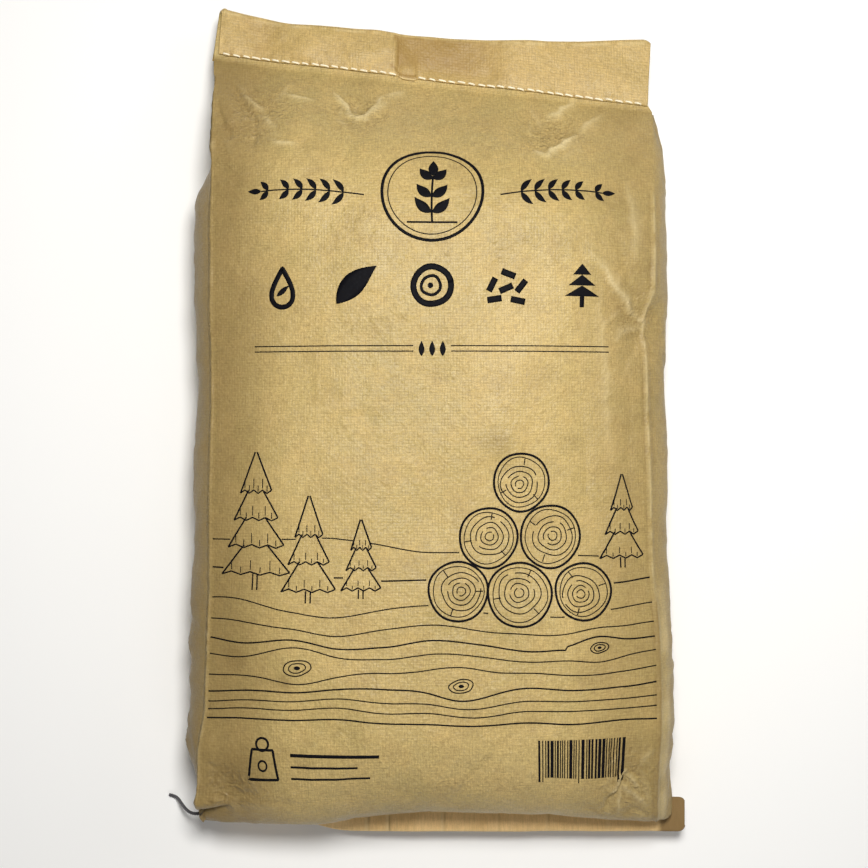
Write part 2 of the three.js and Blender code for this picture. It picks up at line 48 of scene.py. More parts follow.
# Sizes of the sack, in millimetres and degrees, as the solids have them.
PANEL_WIDTH = 384
HALF_PANEL = PANEL_WIDTH / 2
ROW_SPACING = 637
END_MARGIN = 6
BODY_HEIGHT = 130
FRONT_CREASE_HEIGHT, BACK_CREASE_HEIGHT = 97, 13
CREASE_SPAN, BACK_SPAN = 373, 368
LOWER_SPREAD, SETTLED_LENGTH = 10, 235
GUSSET_BULGE_LEFT, GUSSET_BULGE_RIGHT = 21, 18
GUSSET_TUCK_DEPTH, LEFT_TUCK_LENGTH, RIGHT_TUCK_LENGTH = 30, 80, 2
GUSSET_OPENING, LEFT_CLOSING = 50, (0.35, 1.1)
RIGHT_OPENING, RIGHT_OPENED_FIRST, OPENING_CORNER, RIGHT_CLOSING = 50, 5, 8, (-0.05, 0.3)
CROWN_POWER, FLAT_SHARE, WALL_PULL = 2.7, 0.8, 0.55
SHOULDER_LENGTH, BACK_SHOULDER_LENGTH, SHOULDER_ANGLE = 150, 115, 30
HEEL_LENGTH, BACK_HEEL_LENGTH = 78, 62
HEEL_ANGLE, RIGHT_HEEL_ANGLE, BACK_HEEL_ANGLE = 116, 132, 62
RIGHT_HEEL_START, RIGHT_HEEL_END = 0.25, 0.8
MOUTH_ROW_HEIGHT, MOUTH_ROW_DROP, MOUTH_DROOP = 42, 46, 6
FLAP_LEFT, FLAP_MIDDLE, FLAP_RIGHT = 41, 38.5, 59
BOTTOM_ROW_HEIGHT, BOTTOM_SHIFT, HEM_LENGTH = 30, 6.5, 25
TURNED_ROW_HEIGHT, TURNED_OFFSET, TURNED_ANGLE = 29, 10, 84
TURNED_HEEL_ANGLE, TURNED_BACK_ANGLE = 28, 100
TURN_LEAN, TURN_LEAN_AT, TURN_LEAN_REACH = 17, -0.52, 0.24
TURN_START, TURN_END = 0.26, 0.86
TAPE_ABOVE_ROW, TAPE_OVERHANG_LEFT, TAPE_OVERHANG_RIGHT = 4, 17, 25
MOUTH_STITCH_PITCH, BOTTOM_STITCH_PITCH, ROW_INSET = 8.6, 11, 5
FLAP_FOLD_DEPTH, FLAP_FOLD_WIDTH = 4, 26

# Folds across the flap: how far across, in half panels, and shares of the depth and width above.
FLAP_FOLDS = [(-0.76, 0.8, 1), (-0.24, -0.4, 0.7), (0.06, 1, 1.5), (0.42, -0.4, 0.9), (0.69, 0.5, 0.8)]

# Thicknesses of the film and the tape, thinner here than in the solids.
STRIP_THICKNESS, FLAP_THICKNESS, TAPE_THICKNESS = 1.8, 0.96, 0.6

MOUTH, BOTTOM, FRONT, BACK = 1, -1, 1, -1
BODY = "root"
rng = np.random.default_rng(7)

# The solids' own frame starts at the middle of the bottom row. The tape's right end and upper edge
# say where that lies in the row frame.
tape_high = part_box("bottom_tape")[1]
shift = np.array([
    tape_high.x * 1000 - (BOTTOM_SHIFT + HALF_PANEL + TAPE_OVERHANG_RIGHT),
    tape_high.y * 1000 - TAPE_ABOVE_ROW,
    0.0,
])


def to_frame(points):
    return (np.asarray(points, float) + shift) / 1000


def smooth(value, low, high):
    share = np.clip((np.asarray(value, float) - low) / (high - low), 0, 1)
    return share * share * (3 - 2 * share)


def mix(a, b, share):
    return a + (b - a) * share


def hump(distance, width):
    return np.exp(-((distance / width) ** 2))


def unit(vectors):
    return vectors / np.linalg.norm(vectors, axis=-1, keepdims=True)


def heading(angle):
    return np.array([math.cos(angle), math.sin(angle)])


def distances(points):
    """How far along its column each point lies, from the first row."""
    step = np.linalg.norm(np.diff(points, axis=0), axis=-1)
    return np.concatenate([np.zeros_like(step[:1]), np.cumsum(step, axis=0)])


class Noise:
    """Value noise on a lattice of random numbers, read with smooth steps."""

    def __init__(self, seed, size=64):
        self.size = size
        self.table = np.random.default_rng(seed).uniform(-1, 1, (size, size))

    def at(self, x, y):
        x, y = np.asarray(x, float), np.asarray(y, float)
        i, j = np.floor(x).astype(int), np.floor(y).astype(int)
        u, v = x - i, y - j
        u, v = u * u * (3 - 2 * u), v * v * (3 - 2 * v)
        n = self.size
        a, b = self.table[i % n, j % n], self.table[(i + 1) % n, j % n]
        c, d = self.table[i % n, (j + 1) % n], self.table[(i + 1) % n, (j + 1) % n]
        return mix(mix(a, b, u), mix(c, d, u), v)


# The sewn ends.

def turned(across):
    return smooth(-across, TURN_START, TURN_END)


def end_frame(end, across):
    """Row point, outward direction and front direction at places across a sewn end."""
    across = np.asarray(across, float)
    half = across * HALF_PANEL
    zero = np.zeros_like(across)
    if end == MOUTH:
        depth = sum(
            share * FLAP_FOLD_DEPTH * hump(half - at * HALF_PANEL, wide * FLAP_FOLD_WIDTH)
            for at, share, wide in FLAP_FOLDS
        )
        tilt = np.full_like(across, math.radians(MOUTH_DROOP))
        row = np.stack([half, ROW_SPACING - across * MOUTH_ROW_DROP / 2, MOUTH_ROW_HEIGHT - depth], -1)
    else:
        share = turned(across)
        tilt = np.radians(TURNED_ANGLE) * share
        height = mix(BOTTOM_ROW_HEIGHT, TURNED_ROW_HEIGHT, share)
        row = np.stack([half + BOTTOM_SHIFT, -TURNED_OFFSET * share, height], -1)
    out = np.stack([zero, end * np.cos(tilt), -np.sin(tilt)], -1)
    front = np.stack([zero, end * np.sin(tilt), np.cos(tilt)], -1)
    return row, out, front


def layer(end_rows, reach, level, aside=0.0):
    """Points past a row of stitches: how far outward, how far to the front and how far aside."""
    row, out, front = end_rows
    points = row + out * np.reshape(reach, (-1, 1)) + front * np.reshape(level, (-1, 1))
    points[:, 0] += aside
    return points


def flap_height(across):
    left = FLAP_LEFT * across * (across - 1) / 2
    middle = FLAP_MIDDLE * (1 - across * across)
    right = FLAP_RIGHT * across * (across + 1) / 2
    return left + middle + right


# The filled body, as in the solids: along runs from 0 at the bottom strip to 3 at the mouth strip.

def wall_level(side, across):
    edge = np.abs(across)
    if side == BACK:
        return BACK_CREASE_HEIGHT * smooth(edge, FLAT_SHARE, 1)
    return mix(BODY_HEIGHT, FRONT_CREASE_HEIGHT, edge ** CROWN_POWER)


def half_span(side, y):
    settled = smooth(SETTLED_LENGTH - y, 0, SETTLED_LENGTH / 2)
    return ((CREASE_SPAN if side == FRONT else BACK_SPAN) + LOWER_SPREAD * settled) / 2


def end_sweep(end, side, across, share):
    row, out, front = end_frame(end, across)
    if end == MOUTH:
        length = SHOULDER_LENGTH if side == FRONT else BACK_SHOULDER_LENGTH
        angle = np.full_like(across, math.radians(SHOULDER_ANGLE))
    else:
        length = HEEL_LENGTH if side == FRONT else BACK_HEEL_LENGTH
        if side == FRONT:
            angle = mix(HEEL_ANGLE, TURNED_HEEL_ANGLE, turned(across))
            angle = mix(angle, RIGHT_HEEL_ANGLE, smooth(across, RIGHT_HEEL_START, RIGHT_HEEL_END))
            angle = angle + TURN_LEAN * hump(across - TURN_LEAN_AT, TURN_LEAN_REACH)
        else:
            angle = mix(BACK_HEEL_ANGLE, TURNED_BACK_ANGLE, turned(across))
        angle = np.radians(angle)
    start = row - out * END_MARGIN + front * (side * STRIP_THICKNESS / 2)
    level = wall_level(side, across)
    finish = np.stack([start[..., 0], row[..., 1] - end * length, level], -1)
    leave = (np.abs(level - start[..., 2]) * WALL_PULL)[..., None]
    away = -out * np.cos(angle)[..., None] + front * (side * np.sin(angle))[..., None]
    first = start + away * leave
    second = finish + np.array([0, end * length * WALL_PULL, 0])
    t = np.asarray(share)[:, None, None]
    early = start * (1 - t) ** 3 + first * 3 * t * (1 - t) ** 2
    return early + second * 3 * t * t * (1 - t) + finish * t ** 3


def wall(side, across, along):
    """Points of one panel: rows along the sack, columns across it."""
    low = end_sweep(BOTTOM, side, across, np.clip(along, 0, 1))
    high = end_sweep(MOUTH, side, across, np.clip(3 - along, 0, 1))
    points = mix(low, high, np.clip(along - 1, 0, 1)[:, None, None])
    spread = np.where(along < 1, np.sin(along * np.pi / 2), 1.0)
    spread = np.where(along > 2, np.sin((3 - along) * np.pi / 2), spread)[:, None]
    filled = across[None, :] * half_span(side, points[..., 1])
    points[..., 0] = mix(points[..., 0], filled, spread)
    return points


def gusset_offset(sign, y, along):
    left = sign < 0
    bulge = GUSSET_BULGE_LEFT if left else GUSSET_BULGE_RIGHT
    tuck = LEFT_TUCK_LENGTH if left else RIGHT_TUCK_LENGTH
    from_mouth = np.maximum(end_frame(MOUTH, float(sign))[0][1] - END_MARGIN - y, 0)
    if left:
        opened = smooth(from_mouth - tuck, 0, GUSSET_OPENING)
    else:
        left_to_open = 1 - (from_mouth + RIGHT_OPENED_FIRST) / RIGHT_OPENING
        opened = 1 - np.log1p(np.exp(OPENING_CORNER * left_to_open)) / OPENING_CORNER
    value = bulge * opened * smooth(along, *(LEFT_CLOSING if left else RIGHT_CLOSING))
    tucked = -GUSSET_TUCK_DEPTH * np.sin(np.pi * np.minimum(from_mouth / tuck, 1))
    return np.where(from_mouth < tuck, tucked, value)


GUSSET_COLUMNS, GUSSET_CROWDING = 26, 0.5


def gusset_shares():
    """Where a gusset's columns lie between its creases, as shares. They crowd towards the creases."""
    even = np.arange(1, GUSSET_COLUMNS + 1) / (GUSSET_COLUMNS + 1)
    return mix(even, (1 - np.cos(np.pi * even)) / 2, GUSSET_CROWDING)


def gusset(front_edge, back_edge, sign, along):
    """Points between a front crease and a back crease, without the creases themselves."""
    share = gusset_shares()
    points = mix(front_edge[:, None, :], back_edge[:, None, :], share[:, None])
    offset = gusset_offset(sign, (front_edge[:, 1] + back_edge[:, 1]) / 2, along)[:, None]
    shape = np.where(offset < 0, 1 - np.abs(2 * share - 1), np.sin(np.pi * share) ** 0.8)
    points[..., 0] += sign * offset * shape
    return points


# Small helpers for meshes.

def make_object(name, points, faces, uv=None, shade_smooth=True):
    mesh = bpy.data.meshes.new(name)
    mesh.from_pydata(np.asarray(points, float).tolist(), [], [tuple(map(int, face)) for face in faces])
    mesh.polygons.foreach_set("use_smooth", [shade_smooth] * len(mesh.polygons))
    if uv is not None:
        corner = np.empty(len(mesh.loops), int)
        mesh.loops.foreach_get("vertex_index", corner)
        mesh.uv_layers.new(name="panel").data.foreach_set("uv", np.reshape(uv, (-1, 2))[corner].ravel())
    mesh.validate()
    mesh.update()
    piece = bpy.data.objects.new(name, mesh)
    bpy.context.scene.collection.objects.link(piece)
    return piece


def store(piece, name, values):
    """Keep one number for each vertex, for the material to read."""
    kept = piece.data.attributes.new(name, "FLOAT", "POINT")
    kept.data.foreach_set("value", np.asarray(values, float).ravel())


def grid_normals(grid):
    """Normals of a grid of points, rows by columns, from the differences along both ways."""
    normal = np.cross(np.gradient(grid, axis=1), np.gradient(grid, axis=0))
    return normal / np.maximum(np.linalg.norm(normal, axis=-1, keepdims=True), 1e-9)


def closed_sheet(outer, inner):
    """Points and faces of a thin closed body between two grids of points."""
    rows, columns = outer.shape[:2]
    below = rows * columns
    index = np.arange(below).reshape(rows, columns)
    top = np.stack([index[:-1, :-1], index[:-1, 1:], index[1:, 1:], index[1:, :-1]], -1).reshape(-1, 4)
    border = np.concatenate([index[0], index[1:, -1], index[-1, -2::-1], index[-2:0:-1, 0]])
    after = np.roll(border, -1)
    rim = np.stack([after, border, border + below, after + below], -1)
    points = np.concatenate([outer.reshape(-1, 3), inner.reshape(-1, 3)])
    return points, np.concatenate([top, top[:, ::-1] + below, rim]).tolist()


def shell(name, grid, thickness, uv, marks):
    """A closed thin sheet behind a grid of points, with the marks that its material reads."""
    points, faces = closed_sheet(grid, grid - grid_normals(grid) * thickness)
    piece = make_object(name, to_frame(points), faces, np.concatenate([uv.reshape(-1, 2)] * 2))
    for key, values in marks.items():
        store(piece, key, np.tile(np.clip(values, 0, 1).ravel(), 2))
    return piece


def looped_faces(rows, around):
    """Faces of a closed body made of loops, with a cap at each end."""
    index = np.arange(rows * around).reshape(rows, around)
    after = np.roll(index, -1, axis=1)
    sides = np.stack([index[:-1], after[:-1], after[1:], index[1:]], -1).reshape(-1, 4)
    return sides.tolist() + [index[0, ::-1].tolist(), index[-1].tolist()]


def beside_path(path):
    """Two directions square to a path, and to each other, at each of its points."""
    tangent = unit(np.gradient(path, axis=0))
    side = unit(np.cross(tangent, [0.03, 0.02, 1.0]))
    return side, np.cross(side, tangent)


def tube(path, radius, sides):
    """Points and faces of a closed round tube along a path."""
    side, lift = beside_path(path)
    angle = (2 * np.pi * np.arange(sides) / sides)[:, None]
    ring = np.cos(angle) * side[:, None] + np.sin(angle) * lift[:, None]
    return (path[:, None] + ring * radius).reshape(-1, 3), looped_faces(len(path), sides)


class Heap:
    """Gathers many small closed bodies into one mesh."""

    def __init__(self):
        self.points, self.faces, self.count = [], [], 0

    def add(self, points, faces):
        self.points.append(points)
        self.faces += [[i + self.count for i in face] for face in faces]
        self.count += len(points)

    def build(self, name):
        return make_object(name, to_frame(np.concatenate(self.points)), self.faces)


# Nodes of the materials.

class Paint:
    """One material, and short names for the nodes that it is made of."""

    def __init__(self, name):
        self.material = bpy.data.materials.new(name)
        self.material.use_nodes = True
        self.tree = self.material.node_tree

    def node(self, kind, inputs=None, **settings):
        made = self.tree.nodes.new(kind)
        for key, value in settings.items():
            setattr(made, key, value)
        for key, value in (inputs or {}).items():
            self.put(made.inputs[key], value)
        return made

    def put(self, socket, value):
        if isinstance(value, bpy.types.NodeSocket):
            self.tree.links.new(value, socket)
        else:
            socket.default_value = value

    def panel(self):
        return self.node("ShaderNodeUVMap", uv_map="panel").outputs["UV"]

    def place(self):
        return self.node("ShaderNodeTexCoord").outputs["Object"]

    def scaled(self, vector, scale):
        return self.node("ShaderNodeMapping", {"Vector": vector, "Scale": scale}).outputs["Vector"]

    def noise(self, vector, scale, detail=2.0, roughness=0.5):
        inputs = {"Vector": vector, "Scale": scale, "Detail": detail, "Roughness": roughness}
        return self.node("ShaderNodeTexNoise", inputs).outputs["Fac"]

    def math(self, operation, *values):
        made = self.node("ShaderNodeMath", operation=operation)
        for socket, value in zip(made.inputs, values):
            self.put(socket, value)
        return made.outputs[0]

    def times(self, first, second):
        return self.math("MULTIPLY", first, second)

    def spread(self, value, low, high, to_low=0.0, to_high=1.0):
        inputs = {"Value": value, "From Min": low, "From Max": high, "To Min": to_low, "To Max": to_high}
        return self.node("ShaderNodeMapRange", inputs).outputs["Result"]

    def attribute(self, name):
        return self.node("ShaderNodeAttribute", attribute_name=name).outputs["Fac"]

    def blend(self, share, first, second):
        made = self.node("ShaderNodeMix", data_type="RGBA")
        for place, value in zip((0, 6, 7), (share, first, second)):
            self.put(made.inputs[place], value)
        return made.outputs[2]

    def layers(self, tone, *coats):
        """A tone under coats of others: what each follows, how that becomes a share, and its tint."""
        for value, span, tint in coats:
            tone = self.blend(self.spread(value, *span), tone, tint)
        return tone

    def bump(self, height, distance, strength, normal=None):
        inputs = {"Height": height, "Distance": distance, "Strength": strength}
        if normal is not None:
            inputs["Normal"] = normal
        return self.node("ShaderNodeBump", inputs).outputs["Normal"]

    def finished(self, inputs):
        shader = self.tree.nodes["Principled BSDF"]
        for key, value in inputs.items():
            self.put(shader.inputs[key], value)
        return self.material


def colour(red, green, blue):
    """A colour in everyday 0 to 255 numbers, as the shader's linear ones."""
    def linear(value):
        value /= 255
        return value / 12.92 if value <= 0.04045 else ((value + 0.055) / 1.055) ** 2.4

    return (linear(red), linear(green), linear(blue), 1.0)


# Kraft paper over woven film. The weave is of flat strips 2.5 mm wide.
STRIP_PITCH = 0.0025


def weave(paint, vector):
    """Height of a plain weave of flat strips, from 0 in the gaps to 1 on the strips."""
    parts = paint.node("ShaderNodeSeparateXYZ", {"Vector": vector})
    warp, weft = (
        paint.math("SINE", paint.times(parts.outputs[axis], math.pi / STRIP_PITCH)) for axis in "XY"
    )
    strips = paint.times(paint.math("ABSOLUTE", warp), paint.math("ABSOLUTE", weft))
    gaps = paint.math("POWER", strips, 0.25)
    return paint.math("MULTIPLY_ADD", paint.times(warp, weft), 0.35, gaps)


def kraft(name, paper, shade, warm, darkening):
    paint = Paint(name)
    vector = paint.panel()
    clouds = paint.noise(vector, 9.0, 3.0, 0.55)
    blotches = paint.noise(vector, 42.0, 4.0, 0.6)
    dull = paint.noise(vector, 26.0, 5.0, 0.65)
    fibres = paint.math("ADD", *(
        paint.noise(paint.scaled(vector, way), 1.0, 3.0, 0.6) for way in ((900, 120, 900), (120, 900, 120))
    ))
    grain = paint.noise(vector, 1300.0, 2.0, 0.7)
    flecks = paint.noise(vector, 210.0, 4.0, 0.75)
    woven = weave(paint, vector)
    crinkle = paint.attribute("crinkle")

    tone = paint.layers(
        paper,
        (clouds, (0.36, 0.66), shade),
        (blotches, (0.42, 0.7, 0.0, 0.6), warm),
        (dull, (0.5, 0.68, 0.0, 0.35), colour(170, 144, 92)),
        (fibres, (0.82, 1.15, 0.33, 0.0), (0.12, 0.08, 0.035, 1)),
        (grain, (0.38, 0.64, 0.33, 0.0), (0.10, 0.065, 0.025, 1)),
        (woven, (0.25, 0.85, 0.15, 0.0), (0.16, 0.11, 0.045, 1)),
        (flecks, (0.56, 0.72, 0.0, 0.3), (0.62, 0.50, 0.27, 1)),
    )
    dots = paint.node("ShaderNodeTexVoronoi", {"Vector": vector, "Scale": 260.0, "Randomness": 1.0})
    specks = paint.spread(dots.outputs["Distance"], 0.05, 0.16, 0.55, 0.0)
    chosen = paint.spread(paint.noise(vector, 75.0, 1.0), 0.56, 0.66)
    tone = paint.blend(paint.times(specks, chosen), tone, (0.07, 0.04, 0.015, 1))
    # Painted shade: fine dark lines in the crumpled places.
    shaded = paint.spread(paint.noise(vector, 330.0, 4.0, 0.7), 0.36, 0.58, 0.62, 0.0)
    tone = paint.blend(paint.times(shaded, crinkle), tone, colour(126, 100, 56))
    # Lighter where the film is worn and where highlights are painted on ridges, creases and lips; darker
    # towards the last tone
    # where it is dirty and where shade is painted in folds, creases, recesses and towards the sides.
    wear_and_light = paint.times(paint.attribute("wear_and_light"), paint.spread(blotches, 0.3, 0.6, 0.5, 1.0))
    tone = paint.blend(paint.times(wear_and_light, 0.55), tone, colour(240, 222, 172))
    dirt_and_shade = paint.times(paint.attribute("dirt_and_shade"), paint.spread(grain, 0.3, 0.6, 0.6, 1.0))
    tone = paint.blend(paint.times(dirt_and_shade, 0.7), tone, darkening)

    folds = paint.node("ShaderNodeTexNoise", {
        "Vector": vector, "Scale": 170.0, "Detail": 4.0, "Roughness": 0.6, "Distortion": 0.6,
    }, noise_type="RIDGED_MULTIFRACTAL").outputs["Fac"]
    normal = paint.bump(paint.noise(vector, 95.0, 5.0, 0.62), 0.0013, 0.8)
    normal = paint.bump(paint.times(folds, crinkle), 0.002, 0.9, normal)
    normal = paint.bump(woven, 0.00016, 0.9, normal)
    normal = paint.bump(paint.math("ADD", fibres, grain), 0.00007, 0.8, normal)
    return paint.finished({
        "Base Color": tone, "Roughness": paint.spread(blotches, 0.3, 0.7, 0.40, 0.54),
        "Specular IOR Level": 0.36, "Normal": normal,
    })


def crepe(name):
    paint = Paint(name)
    vector = paint.panel()
    wrinkles = paint.noise(paint.scaled(vector, (700, 90, 1)), 1.0, 4.0, 0.65)
    clouds = paint.noise(vector, 30.0, 4.0, 0.6)
    fibres = paint.noise(vector, 900.0, 3.0, 0.7)
    tone = paint.layers(
        colour(252, 216, 156),
        (clouds, (0.35, 0.68), colour(238, 200, 138)),
        (wrinkles, (0.35, 0.65, 0.25, 0.0), colour(128, 100, 60)),
        (fibres, (0.3, 0.7, 0.18, 0.0), colour(110, 84, 50)),
    )
    # Lighter on the tape's rubbed edge and on one side of its creases (painted light);
    # darker on their other side and on the tab past the sack (painted shade).
    tone = paint.blend(paint.times(paint.attribute("wear_and_light"), 0.6), tone, colour(230, 206, 156))
    tone = paint.blend(paint.times(paint.attribute("dirt_and_shade"), 0.9), tone, colour(112, 88, 52))
    normal = paint.bump(fibres, 0.00012, 0.8, paint.bump(wrinkles, 0.0007, 0.9))
    return paint.finished({
        "Base Color": tone, "Roughness": 0.82, "Specular IOR Level": 0.25, "Normal": normal,
    })


def thread(name, light, dark):
    paint = Paint(name)
    vector = paint.place()
    fuzz = paint.noise(vector, 2600.0, 3.0, 0.7)
    darkening = paint.noise(vector, 90.0, 2.0)
    tone = paint.layers(dark, (fuzz, (0.3, 0.7), light), (darkening, (0.4, 0.75, 0.0, 0.35), dark))
    return paint.finished({
        "Base Color": tone, "Roughness": 0.8, "Sheen Weight": 0.25,
        "Normal": paint.bump(fuzz, 0.00018, 0.9),
    })


def ink_paint(name):
    paint = Paint(name)
    worn = paint.noise(paint.place(), 420.0, 4.0, 0.7)
    return paint.finished({
        "Base Color": paint.layers(colour(6, 6, 12), (worn, (0.56, 0.74, 0.0, 0.25), colour(52, 44, 30))),
        "Roughness": paint.spread(worn, 0.3, 0.7, 0.6, 0.8),
        "Specular IOR Level": 0.12, "Normal": paint.bump(worn, 0.0001, 0.6),
    })


# The camera looks straight down on the sack, from the photograph's place over it.
CAMERA_PLACE = (-0.0044, -0.011, 1.43)
CAMERA_LENS = 65.5
camera_data = bpy.data.cameras.new("camera")
camera_data.lens = CAMERA_LENS
camera_data.sensor_width = 36
camera = bpy.data.objects.new("camera", camera_data)
camera.location = CAMERA_PLACE
bpy.context.scene.collection.objects.link(camera)
bpy.context.scene.camera = camera


# The loose tail of dark thread. Its points are measured from the end of the tape: how far to the left,
# towards the mouth, and above the floor.
TAIL_ROUTE = [
    (0.4, 0, 29), (3.5, -0.7, 28.9), (6.6, -1.2, 28.2), (9.6, -1.4, 26.8), (12.5, -1.1, 24.8),
    (15.2, -0.3, 22.3), (17.7, 0.9, 19.4), (20, 2.3, 16.3), (22.1, 3.7, 13.1), (24, 5, 9.9),
    (25.8, 6.2, 6.9), (27.7, 7.2, 4.3), (29.9, 8.1, 2.5), (32.5, 8.9, 1.8), (35.3, 9.6, 1.7),
]
STRANDS, STRAND_RADIUS, STRAND_SIDES, STRAND_TURN = 3, 0.82, 7, 7.0
STRAND_ASIDE, STRAND_UP = 0.72, 0.62


def spline(points, steps):
    """A smooth curve through the points, as a centripetal Catmull-Rom spline."""
    ends = np.array([2 * points[0] - points[1], *points, 2 * points[-1] - points[-2]])
    t = np.linspace(0, 1, steps, endpoint=False)[:, None]
    result = []
    for a, b, c, d in zip(ends, ends[1:], ends[2:], ends[3:]):
        rest = (2 * a - 5 * b + 4 * c - d) * t ** 2 + (3 * b - a - 3 * c + d) * t ** 3
        result.append(0.5 * (2 * b + (c - a) * t + rest))
    return np.concatenate(result + [points[-1:]])


def tail():
    row = end_frame(BOTTOM, -1.0)[0]
    start = row[0] - TAPE_OVERHANG_LEFT
    route = np.array([(start - left, row[1] + up, z) for left, up, z in TAIL_ROUTE])
    middle = spline(route, 14)
    distance = distances(middle)
    side, lift = beside_path(middle)
    heap = Heap()
    for strand in range(STRANDS):
        angle = (2 * np.pi * (distance / STRAND_TURN + strand / STRANDS))[:, None]
        off_middle = STRAND_ASIDE * np.cos(angle) * side + STRAND_UP * np.sin(angle) * lift
        heap.add(*tube(middle + off_middle, STRAND_RADIUS, STRAND_SIDES))
    piece = heap.build("thread_tail_cord")
    piece.data.materials.append(thread("dark_thread", colour(98, 95, 100), colour(34, 33, 38)))
    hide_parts("thread_tail")
    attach(piece, BODY)


tail()


# The body of the sack: a fine grid of loops around it, from inside the tape to inside the fold.
FRONT_COLUMNS, BESIDE_CREASE = 217, 0.5
BACK_COLUMNS, BACK_CROWDING = 37, 0.65
HEEL_ROWS, BODY_ROWS, SHOULDER_ROWS = 58, 165, 78

# Dents and swellings of the front: place, depth and width.
FRONT_DENTS = [
    (-62, 604, 5.5, 24), (104, 588, 6, 30), (-150, 585, 4, 20), (168, 424, 5, 26),
    (60, 250, 3, 60), (-120, 200, -3, 80), (165, 36, 5, 28), (-178, 30, 5, 20),
]

# Folds of the front: both ends, height of the ridge (below zero for a valley) and half width.
FRONT_FOLDS = [
    # Below the left end of the flap.
    ((-176, 634), (-149, 590), -2.4, 5),
    ((-149, 590), (-150, 562), -1.6, 4),
    ((-184, 610), (-171, 578), -2.2, 5),
    ((-192, 604), (-188, 560), 1.2, 3),
    ((-165, 622), (-144, 600), 1.2, 4),
    ((-146, 598), (-132, 584), 1.0, 4),
    ((-128, 617), (-100, 612), 1.3, 4),
    ((-138, 575), (-112, 567), 1.2, 4),
    ((-112, 567), (-96, 575), -1.0, 4),
    ((-187, 549), (-160, 547), -1.2, 3),
    # The crumpled V below the flap, left of the middle.
    ((-84, 622), (-64, 597), 1.9, 4),
    ((-64, 597), (-42, 618), 1.9, 4),
    ((-76, 602), (-52, 598), 1.3, 3),
    ((-62, 596), (-38, 604), -1.3, 4),
    ((-42, 618), (-22, 624), 1.0, 5),
    ((-70, 614), (-56, 606), -1.5, 4),
    # The larger V to the right of it.
    ((78, 590), (94, 559), -1.8, 6),
    ((94, 559), (124, 585), 2.2, 5),
    ((98, 601), (126, 618), 1.8, 5),
    ((102, 594), (120, 607), -2.2, 5),
    ((86, 566), (100, 560), 1.5, 4),
    ((126, 585), (150, 607), 1.0, 6),
    ((66, 606), (90, 612), -0.8, 5),
    # Where the right crease kinks.
    ((178, 420), (132, 476), 1.4, 7),
    ((176, 424), (152, 492), -1.3, 7),
    ((180, 418), (150, 404), 1.0, 6),
    ((178, 414), (158, 372), -0.9, 6),
    ((172, 470), (166, 540), 1.0, 8),
    ((140, 455), (150, 300), 0.7, 9),
    ((164, 400), (170, 230), -0.7, 7),
    ((120, 380), (132, 250), -0.6, 12),
    # The broad diagonal fold at the lower right, and the creased corner.
    ((16, 21), (66, 78), -1.6, 12),
    ((66, 78), (100, 92), -0.7, 12),
    ((144, 12), (170, 44), -2.4, 5),
    ((150, 28), (166, 46), 1.6, 4),
    ((162, 34), (186, 20), 1.8, 3.5),
    ((166, 44), (180, 30), 1.4, 3),
    ((160, 12), (161, 30), 1.4, 3),
    ((170, 16), (184, 12), -1.2, 4),
    ((176, 52), (188, 60), 1.0, 4),
    # The pinched corner at the lower left.
    ((-192, 47), (-180, 45), -1.2, 3),
    ((-168, 22), (-140, 25), -1.0, 6),
    ((-176, 6), (-130, 14), 1.0, 7),
    # Faint lines over the face.
    ((-140, 340), (-60, 352), 0.35, 6),
    ((60, 322), (66, 331), 0.8, 4),
    ((-20, 520), (60, 535), 0.4, 9),
    ((-90, 130), (-30, 150), -0.4, 9),
]

# The pinched corner at the lower left, drawn in deep under a puffed fold.
PINCH_FOLDS = [
    ((-214, -4.5), (-172, 7.5), -7.5, 3.4),
    ((-222, -5.5), (-188, 1.5), -4.8, 4.6),
    ((-206, 8), (-172, 16), 3.4, 6),
    ((-206, -13), (-166, -6), 2.4, 5),
    ((-172, 7.5), (-120, 18.5), -1.2, 6),
]

# The mouth of the pinch, painted dark as its shadow: both ends, and half its width at them.
PINCH_MOUTH = ((-213, -9), (-178, 1.5), 4.4, 0.8)

# The front's left edge leans out towards the bottom, and the right one is knocked in where it kinks:
# at what heights, and how far.
CORNER_FLARE = [-30, -8, 31, 59, 93, 130], [15, 15, 9, 7, 1, 0]
RIGHT_KINK = [150, 300, 395, 421, 448, 520], [0, 4, 6, 8, 0, -1]
CORNER_FLARE_FROM, KINK_FADE = 0.82, 0.25

# How far the lower end swells over the tape, from left to right.
HEEL_SWELL = (
    [-192, -125, -100, -85, -30, 10, 60, 100, 130, 160, 182, 205],
    [0, 0, 4, 5, 4.5, 4, 2.5, 3.5, 8, 12, 15, 17],
)

# Clusters of small sharp creases: middle, reach, how many and how high.
CRUMPLES = [
    (-62, 602, 22, 16, 0.55), (104, 585, 26, 16, 0.5), (-150, 600, 34, 20, 0.5),
    (168, 34, 26, 22, 0.6), (-172, 26, 24, 16, 0.6), (172, 424, 24, 14, 0.5),
    (0, 560, 190, 60, 0.22), (0, 60, 190, 70, 0.25), (0, 300, 220, 110, 0.14),
]
CRINKLE = 1.6

# Dirty spots on the front: place, strength and width.
SMUDGES = [
    (-163, 139, 0.5, 9), (-122, 119, 0.7, 7), (55, 321, 0.4, 12), (-150, 40, 0.3, 30), (-130, 420, 0.2, 40),
]

# The gussets' creases, and the heights below which the front creases are pressed, painted lighter (wear and
# highlight) or given a strip of painted light beside them.
GUSSET_GATHER, GUSSET_FOLDS, GUSSET_SEEDS = 0.5, 22, ((-1, 61), (1, 62))
PRESSED_BELOW, CREASE_LIGHTER_BELOW, STRIP_BELOW, STRIP_WIDTH = 545, 260, 215, 16
FOLD_LEAN, FOLD_STRENGTH, FOLD_NARROWING, WAVER = 0.5, 1.35, 0.62, 2.2
COARSE, MIDDLE, FINE, FINER = (Noise(seed) for seed in (11, 12, 13, 14))


